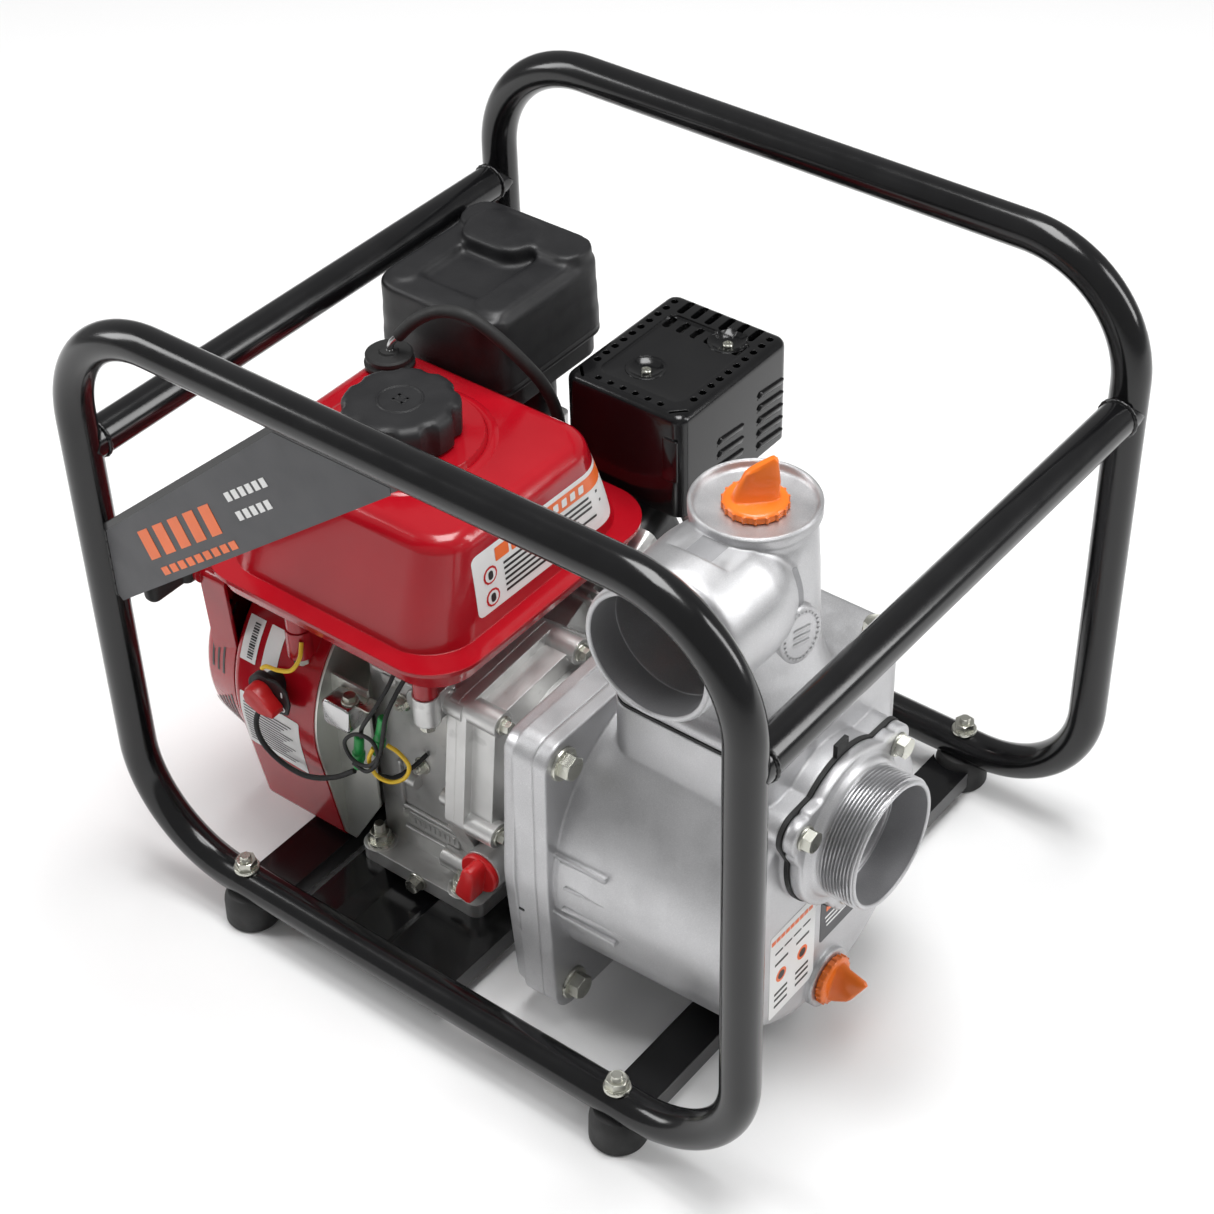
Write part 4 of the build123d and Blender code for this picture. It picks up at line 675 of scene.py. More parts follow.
def casing_side():
    """Corner bolts of the casing, its cast ribs and a painted marker line."""
    pieces = []
    for sy in (1, -1):
        for sz in (1, -1):
            y, z = AX_Y + sy * 94, AX_Z + sz * 97
            pieces += bolt((75.05, y, z), X, 15, 7.5, 11.5, 2.2, turn=rng.random())
            pieces.append(shank((49, y, z), X, 4.9, 27))
            pieces += bolt((51.0, y, z), (-1, 0, 0), 15, 7.0, 11.0, 2.0, turn=rng.random())
    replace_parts(join("casing_bolts_detail", pieces), "casing_bolts")
    for a, x0, x1, h in ((186, 82, 140, 3.2), (176, 84, 118, 2.4), (166, 80, 104, 2.2)):
        casing_rib(radians(a), x0, x1, h)
    prism("marker_line", block(1.6, 5.5), (54, AX_Y - 112.9, AX_Z - 28), NEAR, Z, 0.9, "ink_and_shade")


def casing_rib(a, x0, x1, h):
    """Low rib along the casing's tapered drum, fading out towards the suction end."""
    d, t = Vector((0, cos(a), sin(a))), Vector((0, -sin(a), cos(a)))

    def foot(x):
        return Vector((x, AX_Y, AX_Z)) + d * (108.4 - (x - 65) * 0.028)

    p0, p1 = foot(x0), foot(x1)
    verts = [p0 - d * 2 - t * 2.2, p0 - d * 2 + t * 2.2, p0 + d * h + t * 0.9, p0 + d * h - t * 0.9,
             p1 - d * 2 - t * 1.2, p1 - d * 2 + t * 1.2, p1 + d * 0.4 + t * 0.4, p1 + d * 0.4 - t * 0.4]
    soften(add_mesh("casing_rib", verts, ends(2, 4) + grid(2, 4), "silver"), 0.8)


def bake_modifiers(ob):
    """Give an object its evaluated mesh."""
    dg = bpy.context.evaluated_depsgraph_get()
    me = bpy.data.meshes.new_from_object(ob.evaluated_get(dg))
    ob.modifiers.clear()
    old = ob.data
    ob.data = me
    bpy.data.meshes.remove(old)


def blobs(name, parts, mat, voxel, passes):
    """One soft-cornered casting from overlapping pieces."""
    ob = join(name, parts)
    skin = ob.modifiers.new("skin", "REMESH")
    skin.mode = "VOXEL"
    skin.voxel_size = voxel * MM
    skin.use_smooth_shade = True
    relax = ob.modifiers.new("relax", "SMOOTH")
    relax.factor = 0.5
    relax.iterations = passes
    bake_modifiers(ob)
    paint(ob, mat)
    for p in ob.data.polygons:
        p.use_smooth = True
    return ob


def cut(ob, *cutters):
    """Subtract closed pieces from a closed one."""
    for c in cutters:
        mod = ob.modifiers.new("cut", "BOOLEAN")
        mod.operation = "DIFFERENCE"
        mod.solver = "EXACT"
        mod.object = c
    bake_modifiers(ob)
    for c in cutters:
        bpy.data.objects.remove(c)
    smooth_by_angle(ob, 40)
    return ob


def elbow_casting():
    """Soft casting of the discharge elbow, hollowed out and drilled."""
    o, spout = (ELBOW_X, AX_Y, 0), (ELBOW_X, AX_Y, SPOUT_Z)
    parts = [prism("base", rounded(116, 152, 16), (*ELBOW_BASE, 260), Z, X, 9, "silver")]
    parts.append(lathe("column", o, Z, [(262, 0), (262, 54), (268, 51), (278, 46.5), (292, 42.5), (308, 40.0),
                                        (330, 39.0), (360, 38.0), (384, 36.5), (395, 35.5), (395, 0)],
                                        "silver"))
    parts.append(lathe("spout", spout, NEAR, [(-6, 0), (0, 26), (6, 35), (14, 41), (24, 44.8), (36, 46.2),
                                              (74, 45.4), (80, 44.6), (80, 0)], "silver", segs=96))
    body = blobs("discharge_elbow_body", parts, "silver", 1.6, 12)
    inner = lathe("inner", spout, NEAR, [(-12, 0), (-8, 14), (2, 24), (14, 34), (28, 39.5), (90, 39.5),
                                         (90, 0)],
                  "bore", segs=96)
    well = lathe("well", o, Z, [(256, 0), (256, 36), (375, 33), (375, 0)], "bore")
    dish = lathe("dish", o, Z, [(394.2, 0), (394.2, 60), (420, 60), (420, 0)], "bore")
    hole = lathe("hole", o, Z, [(370, 0), (370, 16.9), (420, 16.9), (420, 0)], "bore")
    holes = [lathe("hole", (x, y, 255), Z, [(0, 0), (0, 4.1), (30, 4.1), (30, 0)], "bore") for x,
             y in ELBOW_BOLTS]
    return cut(body, inner, well, dish, hole, *holes)


def elbow_badge():
    """Raised oval with a beaded edge and three plain bars."""
    centre = Vector((ELBOW_X + 41.0, AX_Y - 13, 330))
    up, side = Vector((0.04, -0.02, 1)).normalized(), Vector((0.30, 1, 0)).normalized()
    face = side.cross(up)
    oval = [(21 * x, 15 * y) for x, y in ring(1, 40)]
    parts = [prism("badge", oval, centre - face * 4, face, up, 6.2, "silver", bevel=0.8)]
    for x, y in ring(1, 28):
        p = centre + up * (17.6 * x) + side * (12.2 * y)
        parts.append(prism("bead", ring(0.9, 8), p + face * 1.8, face, up, 1.1, "silver"))
    for z in (-5.25, 0, 5.25):
        parts.append(prism("bar", rounded(2.2, 12, 0.6), centre + up * z + face * 1.8, face, up, 0.9,
                           "silver"))
    join("elbow_badge", parts)


def elbow_side():
    """Discharge elbow: casting, dished neck rim, threaded spout, badge and base bolts."""
    o, spout = (ELBOW_X, AX_Y, 0), (ELBOW_X, AX_Y, SPOUT_Z)
    pieces = [elbow_casting()]
    pieces.append(lathe("neck_rim", o, Z, [(386, 34.0), (389, 36.2), (391.4, 37.0), (392.4, 38.2),
                                           (393.6, 38.8),
                                           (399.8, 38.9), (401.0, 38.1), (401.2, 37.0), (400.4, 36.0),
                                           (397.4, 35.6),
                                           (396.3, 34.9), (395.9, 33.5), (395.8, 17.0), (386, 17.0)],
                                           "silver",
                        closed=True, segs=96))
    pieces.append(thread_sleeve("spout_thread", spout, NEAR, 42.4, 79.0, 103.3, 2.5))
    pieces.append(lathe("spout_rim", spout, NEAR, [(102.6, 42.6), (103.4, 42.6), (104, 42.0), (104, 40.2),
                                                   (103.4, 39.6), (102.6,
                                                                   39.5)], "silver", closed=True, segs=96))
    pieces.append(lathe("spout_bore", spout, NEAR, [(103.0, 41.2), (103.0, 39.6), (10, 39.55), (10, 41.2)],
                        "bore",
                        closed=True, segs=96))
    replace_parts(join("discharge_elbow_detail", pieces), "discharge_elbow")
    elbow_badge()
    bolts = []
    for x, y in ELBOW_BOLTS:
        bolts += bolt((x, y, 269.05), Z, 13, 6.0, 8.2, 1.6, turn=rng.random())
        bolts.append(shank((x, y, 240), Z, 3.9, 30))
    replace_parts(join("elbow_bolts_detail", bolts), "elbow_bolts")


def grip_plug(name, node, body, origin, axis, side, disc_r, grip_w, grip_h, neck_r, depth, lean):
    """Moulded plug: knurled disc and a tall wedge grip with hollow flanks."""
    u, v, w = basis(axis, side)
    o = Vector(origin)
    parts = [lathe("disc", o, axis, [(-depth, 0), (-depth, neck_r), (0, neck_r), (0, disc_r - 0.8),
                                     (0.8, disc_r),
                                     (4.6, disc_r), (5.6, disc_r - 0.9), (6.0, disc_r - 2.2), (6.0, 0)],
                                     "orange", body, 72)]
    for p in circle(o + w * 0.8, u, v, disc_r * 0.995, 18):
        parts.append(prism("knurl", ring(1.1, 8), p, axis, side, 3.9, "orange", body))
    rows = [(5.5, grip_w / 2, 6.4, 0), (9.0, grip_w / 2 - 0.6, 4.6, 0.2),
            (grip_h * 0.7, grip_w / 2 - 2.0, 3.6, lean * 0.7), (grip_h + 4, grip_w / 2 - 4.5, 3.3, lean),
            (grip_h + 6, grip_w / 2 - 6.5, 2.2, lean)]
    n = 28
    verts = []
    for h, a, b, shift in rows:
        for c, d in ring(1, n):
            x = a * (abs(c) ** 0.55) * (1 if c >= 0 else -1)
            y = b * (abs(d) ** 0.55) * (1 if d >= 0 else -1)
            rise = 4.0 * x / a if h > grip_h else 0.0
            verts.append(o + w * (h + rise) + u * (x + shift) + v * y)
    parts.append(add_mesh("grip", verts, grid(len(rows), n) + ends(len(rows), n), "orange", body, 50))
    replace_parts(join(name, parts), node)


def front_labels():
    """Two stickers on the pump's front face with plain pictures and bars instead of words."""
    x = 207.0

    def mark(shape, mat, y, z, thick=0.4):
        return flat_label("b", shape, mat, (x, y, z), Y, Z, thick=thick)

    flat_label("front_label_white", rounded(49, 74, 2), "white", (x, -86, 92), Y, Z)
    parts = [mark(rounded(4.2, 3.4, 0.4), "label_orange", -107 + i * 5.0, 123 - i * 0.2) for i in range(9)]
    for y in (-98, -75):
        parts.append(mark(ring(5.4, 20), "label_orange", y, 88))
        parts.append(mark(ring(3.4, 20), "ink_and_shade", y, 88, 0.5))
        parts += [mark(rounded(14, 2.0, 0.3), "ink_and_shade", y, z) for z in (101, 74, 69, 63)]
    parts += [mark(rounded(8, 1.5, 0.3), "ink_and_shade", -101 + i * 10, 111) for i in range(4)]
    join("front_label_marks", parts)
    flat_label("front_label_dark", rounded(42, 36, 2), "grey", (x, -34, 96), Y, Z)
    parts = [mark(rounded(14, 6, 1), "label_orange", -42, 105)]
    parts += [mark(rounded(30 - 4 * i, 1.6, 0.3), "white", -35 - i, 97 - i * 4) for i in range(3)]
    join("front_label_dark_marks", parts)


# ---------------------------------------------------------------- stickers that follow a curved face
def decal(name, w, h, r, mat, node, origin, side, up, lift=0.3, step=4.0):
    """Rounded sticker draped over a CAD piece: points are cast onto it along the sticker's normal."""
    src = frame["nodes"][node]
    me = src.data
    me.calc_loop_triangles()
    tree = BVHTree.FromPolygons([src.matrix_world @ v.co for v in me.vertices],
                                [tuple(t.vertices) for t in me.loop_triangles])
    u, v = Vector(side).normalized(), Vector(up).normalized()
    face = u.cross(v).normalized()
    o = Vector(origin)
    count, columns = max(2, int(h / step)), max(2, int(w / step))
    straight = [-h / 2 + h * i / count for i in range(count + 1)]
    corners = [s * (h / 2 - r + r * sin(radians(a))) for s in (-1, 1) for a in (0, 30, 60, 90)]
    rows = sorted({round(y, 3) for y in straight + corners})
    verts = []
    for y in rows:
        over = abs(y) - (h / 2 - r)
        half = w / 2 if over <= 0 else w / 2 - r + sqrt(max(0.0, r * r - over * over))
        for i in range(columns + 1):
            p = o + v * y + u * (-half + 2 * half * i / columns)
            hit, _, _, _ = tree.ray_cast((p + face * 40) * MM, -face, 0.08)
            verts.append(hit / MM + face * lift if hit else p)
    return add_mesh(name, verts, grid(len(rows), columns + 1, loop_columns=False), mat, angle=60)


def at(origin, side, up, x, y):
    """Point on a sticker's plane."""
    return Vector(origin) + Vector(side).normalized() * x + Vector(up).normalized() * y


# ---------------------------------------------------------------- tank
def tank_label():
    """Sticker on the tank's end: orange heading, two pictograms as rings, and bars for the small print."""
    o, side, up = (-31, -24, 276), (0, 1, -0.02), (-0.08, 0, 1)
    decal("tank_label", 140, 47, 5, "white", "fuel_tank", o, side, up, 0.25)
    marks = []

    def mark(w, h, r, mat, x, y, lift, step=4.0):
        marks.append(decal("m", w, h, r, mat, "fuel_tank", at(o, side, up, x, y), side, up, lift, step))

    mark(100, 11, 1, "label_orange", 17, 14.5, 0.45)
    for i in range(7):
        mark(5.0, 6.0, 0.8, "white", -14 + i * 8.5, 14.5, 0.65, 8)
    mark(13, 10, 1, "label_orange", -42, 14.5, 0.45, 6)
    for y in (3, -14):
        mark(13, 13, 6.4, "redplastic", -55, y, 0.45, 6)
        mark(10, 10, 4.9, "white", -55, y, 0.65, 6)
        mark(4.5, 6.5, 2, "ink_and_shade", -55, y, 0.85, 6)
    for i, w in enumerate((96, 88, 99, 74, 92, 60)):
        mark(w, 1.9, 0.4, "ink_and_shade", -42 + w / 2, 4.5 - i * 4.2, 0.45, 12)
    join("tank_label_marks", marks)


def tank_details():
    """Pressed step round the filler, and the nuts on the tank's studs."""
    lathe("filler_step", (CAP_X, CAP_Y, 318), Z, [(-1, 62), (0.2, 61), (1.2, 58), (1.4, 56), (0.6, 54.2),
                                                  (-1, 54)],
          "red", segs=96, closed=True)
    for x in (-46, -156):
        join("tank_stud_nut", bolt((x, -130, 186.5), DOWN, 10, 4.5, 6.5, 1.2, 3, 2.5))


def fuel_cap():
    """Lobed cap with a ring and a plain drop shape moulded in its top."""
    o = Vector((CAP_X, CAP_Y, 324))
    rows = [(0.0, 36.5), (0.6, 37.6), (2.0, 38.4), (19.0, 39.0), (21.6, 38.4), (23.6, 37.0), (25.0, 34.6),
            (25.6, 32.0),
            (25.4, 29.0), (25.2, 15.6), (25.9, 15.0), (25.9, 14.2), (25.2, 13.6), (25.2, 0.01)]
    segs, lobes, lobe_depth = 180, 9, 3.4
    verts = []
    for h, r in rows:
        flare = 1.0 if h < 21 else max(0.3, 1 - (h - 21) / 8)
        for i in range(segs):
            a = 2 * pi * i / segs
            phase = (a * lobes / (2 * pi)) % 1.0 - 0.5
            dip = lobe_depth * max(0.0, 1 - (abs(phase) / 0.24) ** 2) if r > 28 else 0.0
            d = r - dip * flare
            verts.append(o + Vector((d * cos(a), d * sin(a), h)))
    pieces = [add_mesh("cap", verts, grid(len(rows), segs) + ends(len(rows), segs)[:1], "plastic", "cap", 40)]
    for x, y, w, h in ((-3, 1, 2, 9), (0.5, 3, 9, 2), (4, 0, 2, 7), (0.5, -3, 9, 2)):
        pieces.append(prism("emblem", rounded(w, h, 0.8), (CAP_X + x, CAP_Y + y, 349.1), Z, X, 0.6, "plastic",
                            "cap"))
    pieces.append(lathe("cap_skirt", (CAP_X, CAP_Y, 322.6), Z, [(0, 27.4), (0, 31), (1.6, 31), (1.6, 27.4)],
                        "rubber",
                        "cap", 64, closed=True))
    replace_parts(join("fuel_cap_detail", pieces), "fuel_cap")


def vapour_hose():
    """Rubber hose from the tank's valve to the filter housing, with its grommet and steel stub."""
    pieces = [lathe("grommet", (-196, 18, 318.2), Z, [(0, 0), (0, 15.5), (1.2, 17.0), (3.6, 17.2),
                                                      (4.6, 15.8),
                                                      (6.0, 15.2), (7.0, 16.2), (9.4, 16.2), (10.6, 14.8),
                                                      (10.8, 7),
                                                      (12.4, 6.2), (12.8, 0)], "rubber", segs=72)]
    pieces.append(tube("stub", [(-196, 18, 329), (-193, 19, 337), (-186, 22, 345)], 2.4, "steel", segs=16))
    route = [(-189, 21, 342), (-176, 26, 357), (-158, 31, 368), (-138, 35, 369), (-122, 41, 358),
             (-111, 55, 334), (-108, 72, 306), (-109, 86, 272), (-111, 89, 238)]
    pieces.append(tube("hose", route, 4.4, "rubber", segs=20))
    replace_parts(join("vapour_hose_detail", pieces), "vapour_hose")


# ---------------------------------------------------------------- intake and exhaust
def air_cleaner():
    """Cover with raised edge ridges round a dished top, a raised back corner and a clip rim."""
    cx, cy = -180.5, 105.0

    def lump(w, d, r, dx, dy, z, h):
        return prism("b", rounded(w, d, r), (cx + dx, cy + dy, z), Z, X, h, "plastic", "filter_lid")

    hull = [lump(110, 122, 18, 0, 0, 298, 20), lump(109, 121, 18, 0, 0, 310, 25),
            lump(108, 120, 18, 0, 0, 330, 25),
            lump(104, 34, 15, 0, 40, 340, 26), lump(22, 108, 10, -40, 2, 340, 20),
            lump(102, 20, 9, 0, -48, 340, 18),
            lump(26, 104, 12, 37, 2, 340, 21), lump(56, 42, 17, -10, 28, 340, 28)]
    pieces = [blobs("air_cleaner_cover_detail", hull, "plastic", 1.8, 14)]
    for h, grow in ((298.2, 1.2), (303.0, 0.6)):
        pieces.append(prism("lip", rounded(109 + grow, 121 + grow, 18), (cx, cy, h), Z, X, 2.4, "plastic",
                            "filter_lid", bevel=0.8))
    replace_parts(join("air_cleaner_cover_detail", pieces), "air_cleaner_cover")


def guard_holes(x0, x1, y0, y1):
    """Cutters for the round holes, slots and corner slits in the guard's top."""
    holes = []

    def punch(outline, x, y, side=X):
        holes.append(prism("c", outline, (x, y, GUARD_TOP - 12), Z, side, 30, "black"))

    for i in range(10):
        punch(ring(2.7, 14), x0 + 9, y0 + 26 + i * 9.6)
        punch(ring(2.7, 14), x1 - 9, y0 + 26 + i * 9.6)
    for i in range(6):
        punch(ring(2.4, 12), x0 + 23 + i * 10.3, y0 + 9)
        punch(rounded(5.4, 17, 2.2, 4), x0 + 20 + i * 11.6, y1 - 12)
        punch(rounded(5.4, 13, 2.2, 4), x0 + 20 + i * 11.6, y1 - 31)
    for x, turn in ((x0 + 9, 1), (x1 - 9, -1)):
        punch(rounded(2.2, 13, 1.0, 3), x, y0 + 9, (1, turn, 0))
    return join("c", holes)


def muffler_guard():
    """Pressed steel guard: holed rim band, dished screws, slotted far end, louvred side."""
    x0, x1, y0, y1, z0, z1 = -100.0, -2.0, 82.0, 205.0, 235.0, GUARD_TOP
    mid = ((x0 + x1) / 2, (y0 + y1) / 2)
    shell = prism("muffler_guard_detail", rounded(x1 - x0, y1 - y0, 9, 8), (*mid, z0), Z, X, z1 - z0, "black")
    bm = bmesh.new()
    bm.from_mesh(shell.data)
    top = [e for e in bm.edges if all(abs(v.co.z - z1 * MM) < 1e-5 for v in e.verts)]
    bmesh.ops.bevel(bm, geom=top, offset=6 * MM, segments=5, affect="EDGES", profile=0.5)
    bm.to_mesh(shell.data)
    bm.free()
    cavity = prism("c", rounded(x1 - x0 - 3.2, y1 - y0 - 3.2, 8), (*mid, z0 - 2), Z, X, z1 - z0 - 5, "black")
    panel = prism("c", rounded(68, 84, 7), (mid[0] + 1, mid[1] - 3, z1 - 1.9), Z, X, 5, "black", bevel=1.7,
                  segments=4)
    holes = guard_holes(x0, x1, y0, y1)
    chamfer = prism("c", [(0, 0), (30, 0), (0, 26)], (x0 - 5, y1 + 2, z0 - 2), X, NEAR, x1 - x0 + 10, "black")
    wells = [lathe("c", (x, y, z1 - 4.6), Z, [(0, 0), (0, 5), (0.8, 8), (2.4, 11.5), (4.6, 14), (8, 14),
                                              (8, 0)],
                   "black", segs=40) for x, y in GUARD_SCREWS]
    pieces = [cut(shell, cavity, panel, holes, chamfer, *wells)]
    for x, y in GUARD_SCREWS:
        pieces.append(lathe("well", (x, y, z1 - 6.2), Z, [(0, 2.7), (0, 6.0), (0.8, 8.4), (2.4, 11.9),
                                                          (4.4, 14.1),
                                                          (4.7, 13.9), (3.0, 11.0), (1.6, 7.5), (1.2, 5.0),
                                                          (1.2, 2.7)], "black", closed=True))
    lean = (0, 1, -0.1)
    for col, count, y in ((0, 4, 137), (1, 5, 183)):
        for i in range(count):
            z = 243 + i * 10.4 + col * 1.0
            pieces.append(prism("louvre", [(-15, -1.8), (12, -1.8), (15, 2.0), (-12, 2.0)], (x1 - 0.6, y, z),
                                X, lean,
                                2.4, "black", bevel=1.1, segments=3))
            # Painted shade: a thin near-black strip below each louvre stands in for the shaded opening under
            # it.
            pieces.append(prism("louvre_shade_strip", [(-15, -3.6), (14, -3.6), (15, -2.4), (-14, -2.4)], (x1 - 0.1, y, z),
                                X, lean,
                                0.35, "ink_and_shade"))
    pieces.append(prism("tab", rounded(12, 34, 1.5), (x1 - 9, y0 + 0.2, 281), NEAR, X, 1.4, "black",
                        bevel=0.4))
    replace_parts(join("muffler_guard_detail", pieces), "muffler_guard")


def guard_screws():
    """Pan heads with cross slots, sunk in the guard's wells."""
    screws = []
    for x, y in GUARD_SCREWS:
        head = lathe("pan", (x, y, GUARD_TOP - 5), Z, [(0, 0), (0, 3.8), (1.2, 3.8), (2.0, 3.2), (2.3, 2.2),
                                                       (2.3, 0)],
                     "zinc", segs=32)
        slots = [prism("c", rounded(4.6, 1.1, 0.3), (x, y, GUARD_TOP - 3.6), Z, (cos(t), sin(t), 0), 3,
                       "zinc")
                 for t in (0.6, 0.6 + pi / 2)]
        screws.append(cut(head, *slots))
        screws.append(shank((x, y, GUARD_TOP - 12), Z, 2.4, 7.2, segs=24))
    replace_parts(join("guard_screws_detail", screws), "guard_screws")


# ---------------------------------------------------------------- recoil side
def starter():
    """Starter handle, and its rope that stretches from the guide in the housing to the pulled handle."""
    x0, x1, y, z = -246.5, -232.0, -132.0, 220.0
    grip = [prism("bar", rounded(13, 82, 6.0, 8), (-250, y, 212), Z, X, 16, "rubber", "pull", bevel=5,
                  segments=4),
            prism("throat", rounded(14, 30, 6.5, 8), (x0, y, 213), Z, X, 14, "rubber", "pull", bevel=4)]
    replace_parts(join("starter_handle_detail", grip), "starter_handle")
    segs, count = 12, 60
    verts = []
    for k in range(count + 1):
        x = x0 + (x1 - x0) * k / count
        for i in range(segs):
            a = 2 * pi * i / segs
            r = 2.2 + 0.28 * cos(3 * a + k * 0.9)
            verts.append(Vector((x, y + r * cos(a), z + r * sin(a))) * MM)
    me = bpy.data.meshes.new("starter_rope_detail")
    me.from_pydata(verts, [], grid(count + 1, segs))
    rope = bpy.data.objects.new("starter_rope_detail", me)
    bpy.context.scene.collection.objects.link(rope)
    me.materials.append(MAT["rope"])
    smooth_by_angle(rope, 60)
    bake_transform(rope, "pull", "base", (-0.2462, y * MM, z * MM), (-0.2325, y * MM, z * MM))
    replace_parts(rope, "starter_rope")


def recoil_slot_shade():
    """Painted shade: flat dark strips round the dome's flank where its curved slots would show their shaded
    insides.
    """
    def slot_shade_strip(x, start, sweep, count):
        verts = []
        for i in range(count + 1):
            a = radians(start + sweep * i / count)
            for edge in (x, x + 2.2):
                r = 86.25 + 7.0 * (edge + 250) / 35
                verts.append((edge, AX_Y + r * cos(a), AX_Z + r * sin(a)))
        return add_mesh("slot_shade_strip", verts, grid(count + 1, 2, loop_columns=False), "ink_and_shade")

    slots = [slot_shade_strip(-246.0 + row * 4.8, 196 - row * 2.5, 44, 16) for row in range(6)]
    slots += [slot_shade_strip(x, start, 34, 12) for start in (20, 80, 140, 260, 320) for x in (-240.0, -234.0, -228.0)]
    join("recoil_slot_shade", slots)


def fan_cover_details():
    """Stickers with plain blocks and bars on the fan cover's curved flank."""
    def print_bar(w, h, r, mat, o, side, up, x, y):
        return decal("m", w, h, r, mat, "fan_cover", at(o, side, up, x, y), side, up, 0.6, 2)

    up = Vector((0, 0.5, 0.87))
    for x, w in ((-201, 14), (-182, 13.5)):
        decal("cover_sticker", w, 32, 0.6, "white", "fan_cover", (x, -132, 178), X, up, 0.35, 2)
    code = [print_bar(5.0, 0.8 + (i * 7 % 3) * 0.35, 0.2, "ink_and_shade", (-201, -132, 178), X, up, 1.5, -13 + i * 1.9)
            for i in range(14)]
    join("sticker_code", code)
    o, side, up = (-181, -146, 112), (1, 0, -0.06), (0.06, 0, 1)
    decal("cover_label", 54, 52, 1.5, "white", "fan_cover", o, side, up, 0.35, 2)
    rows = []
    for i in range(14):
        w = 44 - (i * 5 % 4) * 3.5
        rows.append(print_bar(w, 1.0, 0.2, "ink_and_shade", o, side, up, -24 + w / 2, 17.5 - i * 2.9))
    rows.append(print_bar(20, 3.2, 0.6, "redplastic", o, side, up, -12, 22))
    join("cover_label_print", rows)


def switch_plate():
    """Moulded plate behind the switch knob, marked with a bar and a ring."""
    outline = [(-9, -12), (3, -15), (13, -12), (16, -2), (14, 9), (6, 14), (-6, 12), (-11, 2)]
    soften(flat_label("switch_plate", outline, "plastic", (-167, -149.0, 160), X, Z, thick=2.2), 0.8)
    marks = [flat_label("m", rounded(1.2, 4.4, 0.3), "white", (-157, -151.3, 165), X, Z, thick=0.3)]
    outer, inner = ring(2.4, 10), ring(1.6, 10)
    for i in range(10):
        j = (i + 1) % 10
        marks.append(flat_label("m", [outer[i], outer[j], inner[j], inner[i]], "white", (-158, -151.3, 152),
                                X, Z,
                                thick=0.3))
    join("switch_marks", marks)


def switch_knob():
    """Red rotary knob with a wedge pointer."""
    x, y, z = -174, -151.2, 159
    pieces = [lathe("knob", (x, y, z), NEAR, [(0, 0), (0, 9.4), (1, 9.9), (8.4, 9.5), (9.6, 8.8), (10.2, 7.0),
                                              (10.3, 0)], "redplastic", "knob", 56)]
    tip = [(-17.5, 2.5), (-17.0, 7.5), (-4, 9.6), (7.5, 5.5), (9.2, 0), (5.5, -7.4), (0, -9.4), (-5, -8.0)]
    pieces.append(prism("pointer", tip, (x, y - 0.2, z), NEAR, (-1, 0, 0), 10.8, "redplastic", "knob",
                        bevel=0.8))
    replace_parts(join("switch_knob_detail", pieces), "switch_knob")


def wires():
    """Black switch lead looped round two green connectors, and the yellow earth leads."""
    leads = [
        ("lead", 1.9, "rubber", [(-176, -152, 149), (-184, -153, 128), (-182, -151, 108), (-168, -148, 95),
                                 (-148, -146, 93), (-126, -143, 102), (-108, -140, 116)]),
        ("loop", 1.4, "rubber", [(-104, -144, 128), (-90, -146, 130), (-80, -145, 144), (-84, -144, 158),
                                 (-98, -145, 158), (-108, -146, 146), (-102, -146, 134), (-88, -146, 136),
                                 (-78, -144, 150)]),
        ("up", 1.6, "rubber", [(-78, -144, 150), (-77, -141, 164), (-76, -137, 180), (-72, -130, 196),
                               (-68, -124, 208)]),
        ("up2", 1.5, "rubber", [(-98, -140, 152), (-94, -142, 164), (-86, -138, 180), (-80, -130, 196),
                                (-78, -124, 206)]),
        ("earth", 1.5, "yellow", [(-86, -142, 150), (-90, -143, 138), (-86, -142, 126), (-76, -139, 123),
                                  (-66, -136, 130), (-62, -135, 142), (-68, -137, 152), (-76, -139, 156)]),
        ("earth2", 1.5, "yellow", [(-148, -136, 205), (-146, -141, 196), (-150, -146, 187), (-160, -148, 183),
                                   (-170, -149, 182), (-175, -149, 178)]),
        ("foot", 1.6, "rubber", [(-88, -138, 122), (-78, -134, 122), (-70, -124, 128), (-66, -113, 134)]),
    ]
    pieces = [tube(name, route, r, mat, segs=12) for name, r, mat, route in leads]
    for o, tip in (((-105, -139, 120), (-101, -139, 150)), ((-88, -137, 140), (-80, -136, 176))):
        d = Vector(tip) - Vector(o)
        pieces.append(lathe("connector", o, d, [(0, 0), (0, 2.6), (1, 3.4), (8, 3.6), (9, 4.4), (15, 4.4),
                                                (16, 3.6),
                                                (d.length - 1, 3.4), (d.length, 2.6), (d.length, 0)], "green",
                            segs=20))
    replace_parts(join("switch_wires_detail", pieces), "switch_wires")


def oil_alert():
    """Small silver sensor can with its bracket and screw."""
    pieces = [prism("can", rounded(24, 21, 4, 5), (-118, -142.2, 160), Y, X, 18, "steel", bevel=1.8,
                    segments=3)]
    pieces += bolt((-112, -133, 171), Z, 8, 4, 6, 1.2)
    pieces.append(prism("bracket", rounded(30, 12, 2), (-110, -128, 168.5), Z, X, 1.6, "zinc", bevel=0.3))
    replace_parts(join("oil_alert_detail", pieces), "oil_alert_unit")


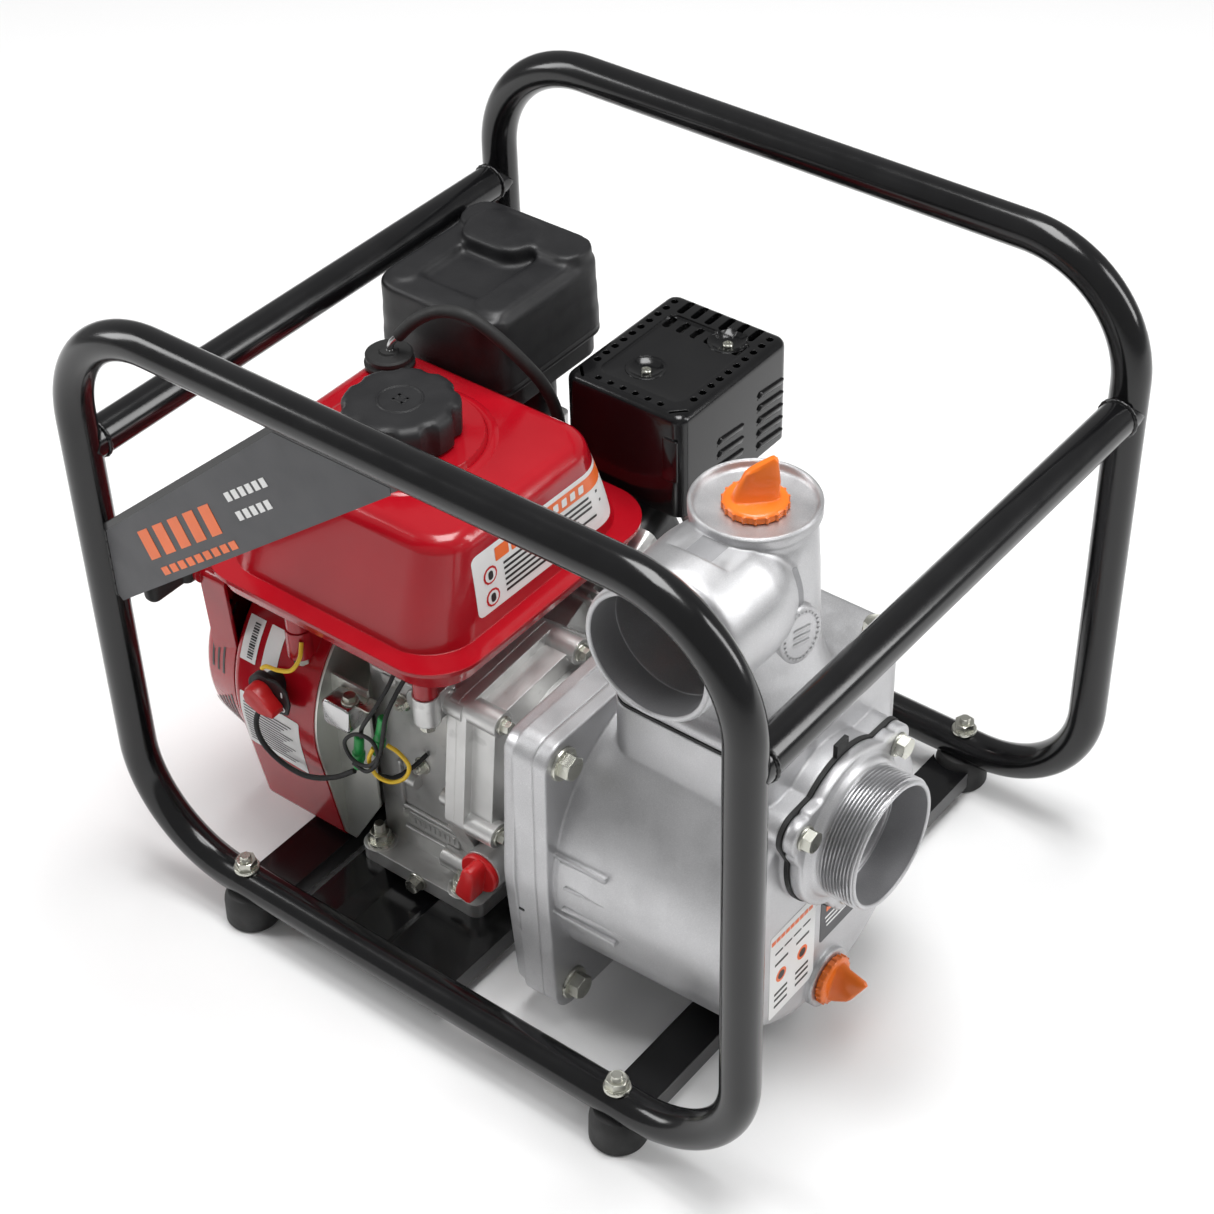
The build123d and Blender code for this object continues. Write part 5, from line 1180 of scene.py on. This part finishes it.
# ---------------------------------------------------------------- crankcase
def crankcase_details():
    """Bosses, ribs and bolts on the die-cast near side."""
    y = -112.0
    for x, z, r, length in ((-30, 196, 8.5, 30), (-30, 108, 7.5, 26), (-30, 50, 8.5, 30), (-80, 106, 6, 12)):
        lathe("boss", (x - length + 6, y - 3.0, z), X, [(-1, 0), (-1, r - 1.2), (0, r), (length, r),
                                                        (length, 0)],
              "raw", segs=36)
    for x, z, w, h in ((-66, 178, 26, 18), (-62, 74, 60, 3.0), (-92, 92, 3.0, 46), (-70, 190, 76, 3.4),
                       (-50, 54, 84, 2.6), (-44, 150, 2.6, 60), (-94, 186, 12, 12)):
        soften(prism("rib", rounded(w, h, min(w, h) * 0.4), (x, y + 0.2, z), NEAR, X, 3.0, "raw"), 0.9)
    prism("pad", rounded(44, 11, 1.5), (-66, y + 0.2, 64), NEAR, X, 1.6, "raw", bevel=0.5)
    for i in range(9):
        prism("pad_mark", rounded(2.4, 5.6, 0.6), (-83 + i * 4.3, y - 1.3, 64), NEAR, X, 0.5, "raw")
    for x, z in ((-72, 120), (-84, 170)):
        join("side_bolt", bolt((x, y - 0.2, z), NEAR, 8, 4.5, 6.5, 1.4, 2.5, 2.0, turn=rng.random()))
    for x in (-109, -34):
        lathe("foot_round", (x, -122, 35.9), Z, [(0, 0), (0, 12), (0.6, 11.6), (0.6, 0)], "raw", segs=40)
    join("cover_seam_dark", [prism("seam", block(0.5, 150), (-28.3, y - 0.1, 34), NEAR, X, 1.5, "ink_and_shade")])


def engine_fasteners():
    """Engine mounting studs with their nuts, the oil drain bolt and the side cover's bolts."""
    studs = []
    for x in (-109, -34):
        for y in (-122, 43):
            studs += bolt((x, y, 36.05), Z, 13, 7.0, 9.5, 2.4, 3.9, 7.5, turn=rng.random())
            studs += bolt((x, y, 21.4), DOWN, 13, 5.2, 8.0, 0.6, turn=rng.random())
            studs.append(shank((x, y, 17), Z, 3.9, 30))
    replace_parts(join("engine_bolts_detail", studs), "engine_bolts")
    drain = bolt((-67, -132.05, 30), NEAR, 10, 6.0, 7.0, 1.5, turn=0.2)
    drain.append(shank((-67, -114, 30), NEAR, 3.9, 19))
    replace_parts(join("drain_bolt_detail", drain), "drain_bolt")
    covers = []
    for y, z in COVER_BOLTS:
        covers += bolt((3.05, y, z), X, 8, 5.0, 6.5, 1.5, turn=rng.random())
        covers.append(shank((-36, y, z), X, 2.9, 40))
    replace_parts(join("cover_bolts_detail", covers), "cover_bolts")


def oil_plug():
    """Red filler plug with a tapering wedge grip."""
    x, y, z = -6, -133.1, 78
    pieces = [lathe("disc", (x, y, z), NEAR, [(-18, 0), (-18, 9.8), (0, 9.8), (0, 14), (1, 14.6), (3.6, 14.6),
                                              (4.6, 13.6), (4.6, 0)], "redplastic", "oil", 48)]
    grip = [(-15, -4), (-13, -7), (12, -5.2), (16, -2.5), (16, 2.5), (12, 5.2), (-13, 7), (-15, 4)]
    pieces.append(prism("grip", grip, (x, y - 4, z), NEAR, (0.25, 0, 1), 14, "redplastic", "oil", bevel=1.6,
                        segments=3))
    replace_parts(join("oil_plug_detail", pieces), "oil_plug")


frame_details()
rubber_feet()
label_plate()
suction_side()
casing_side()
elbow_side()
grip_plug("priming_plug_detail", "priming_plug", "priming", (ELBOW_X, AX_Y, 396), (0, 0, 1), (1, 1, 0), 19.0,
          28, 23, 16.9, 16, 3)
grip_plug("drain_plug_detail", "drain_plug", "drain", (211, AX_Y, 43), (1, 0, 0), (0, 0.5, 1), 16.5, 27, 17,
          12.4, 18, 0)
front_labels()
tank_label()
tank_details()
fuel_cap()
vapour_hose()
air_cleaner()
muffler_guard()
guard_screws()
starter()
recoil_slot_shade()
fan_cover_details()
switch_plate()
switch_knob()
wires()
oil_alert()
crankcase_details()
engine_fasteners()
oil_plug()
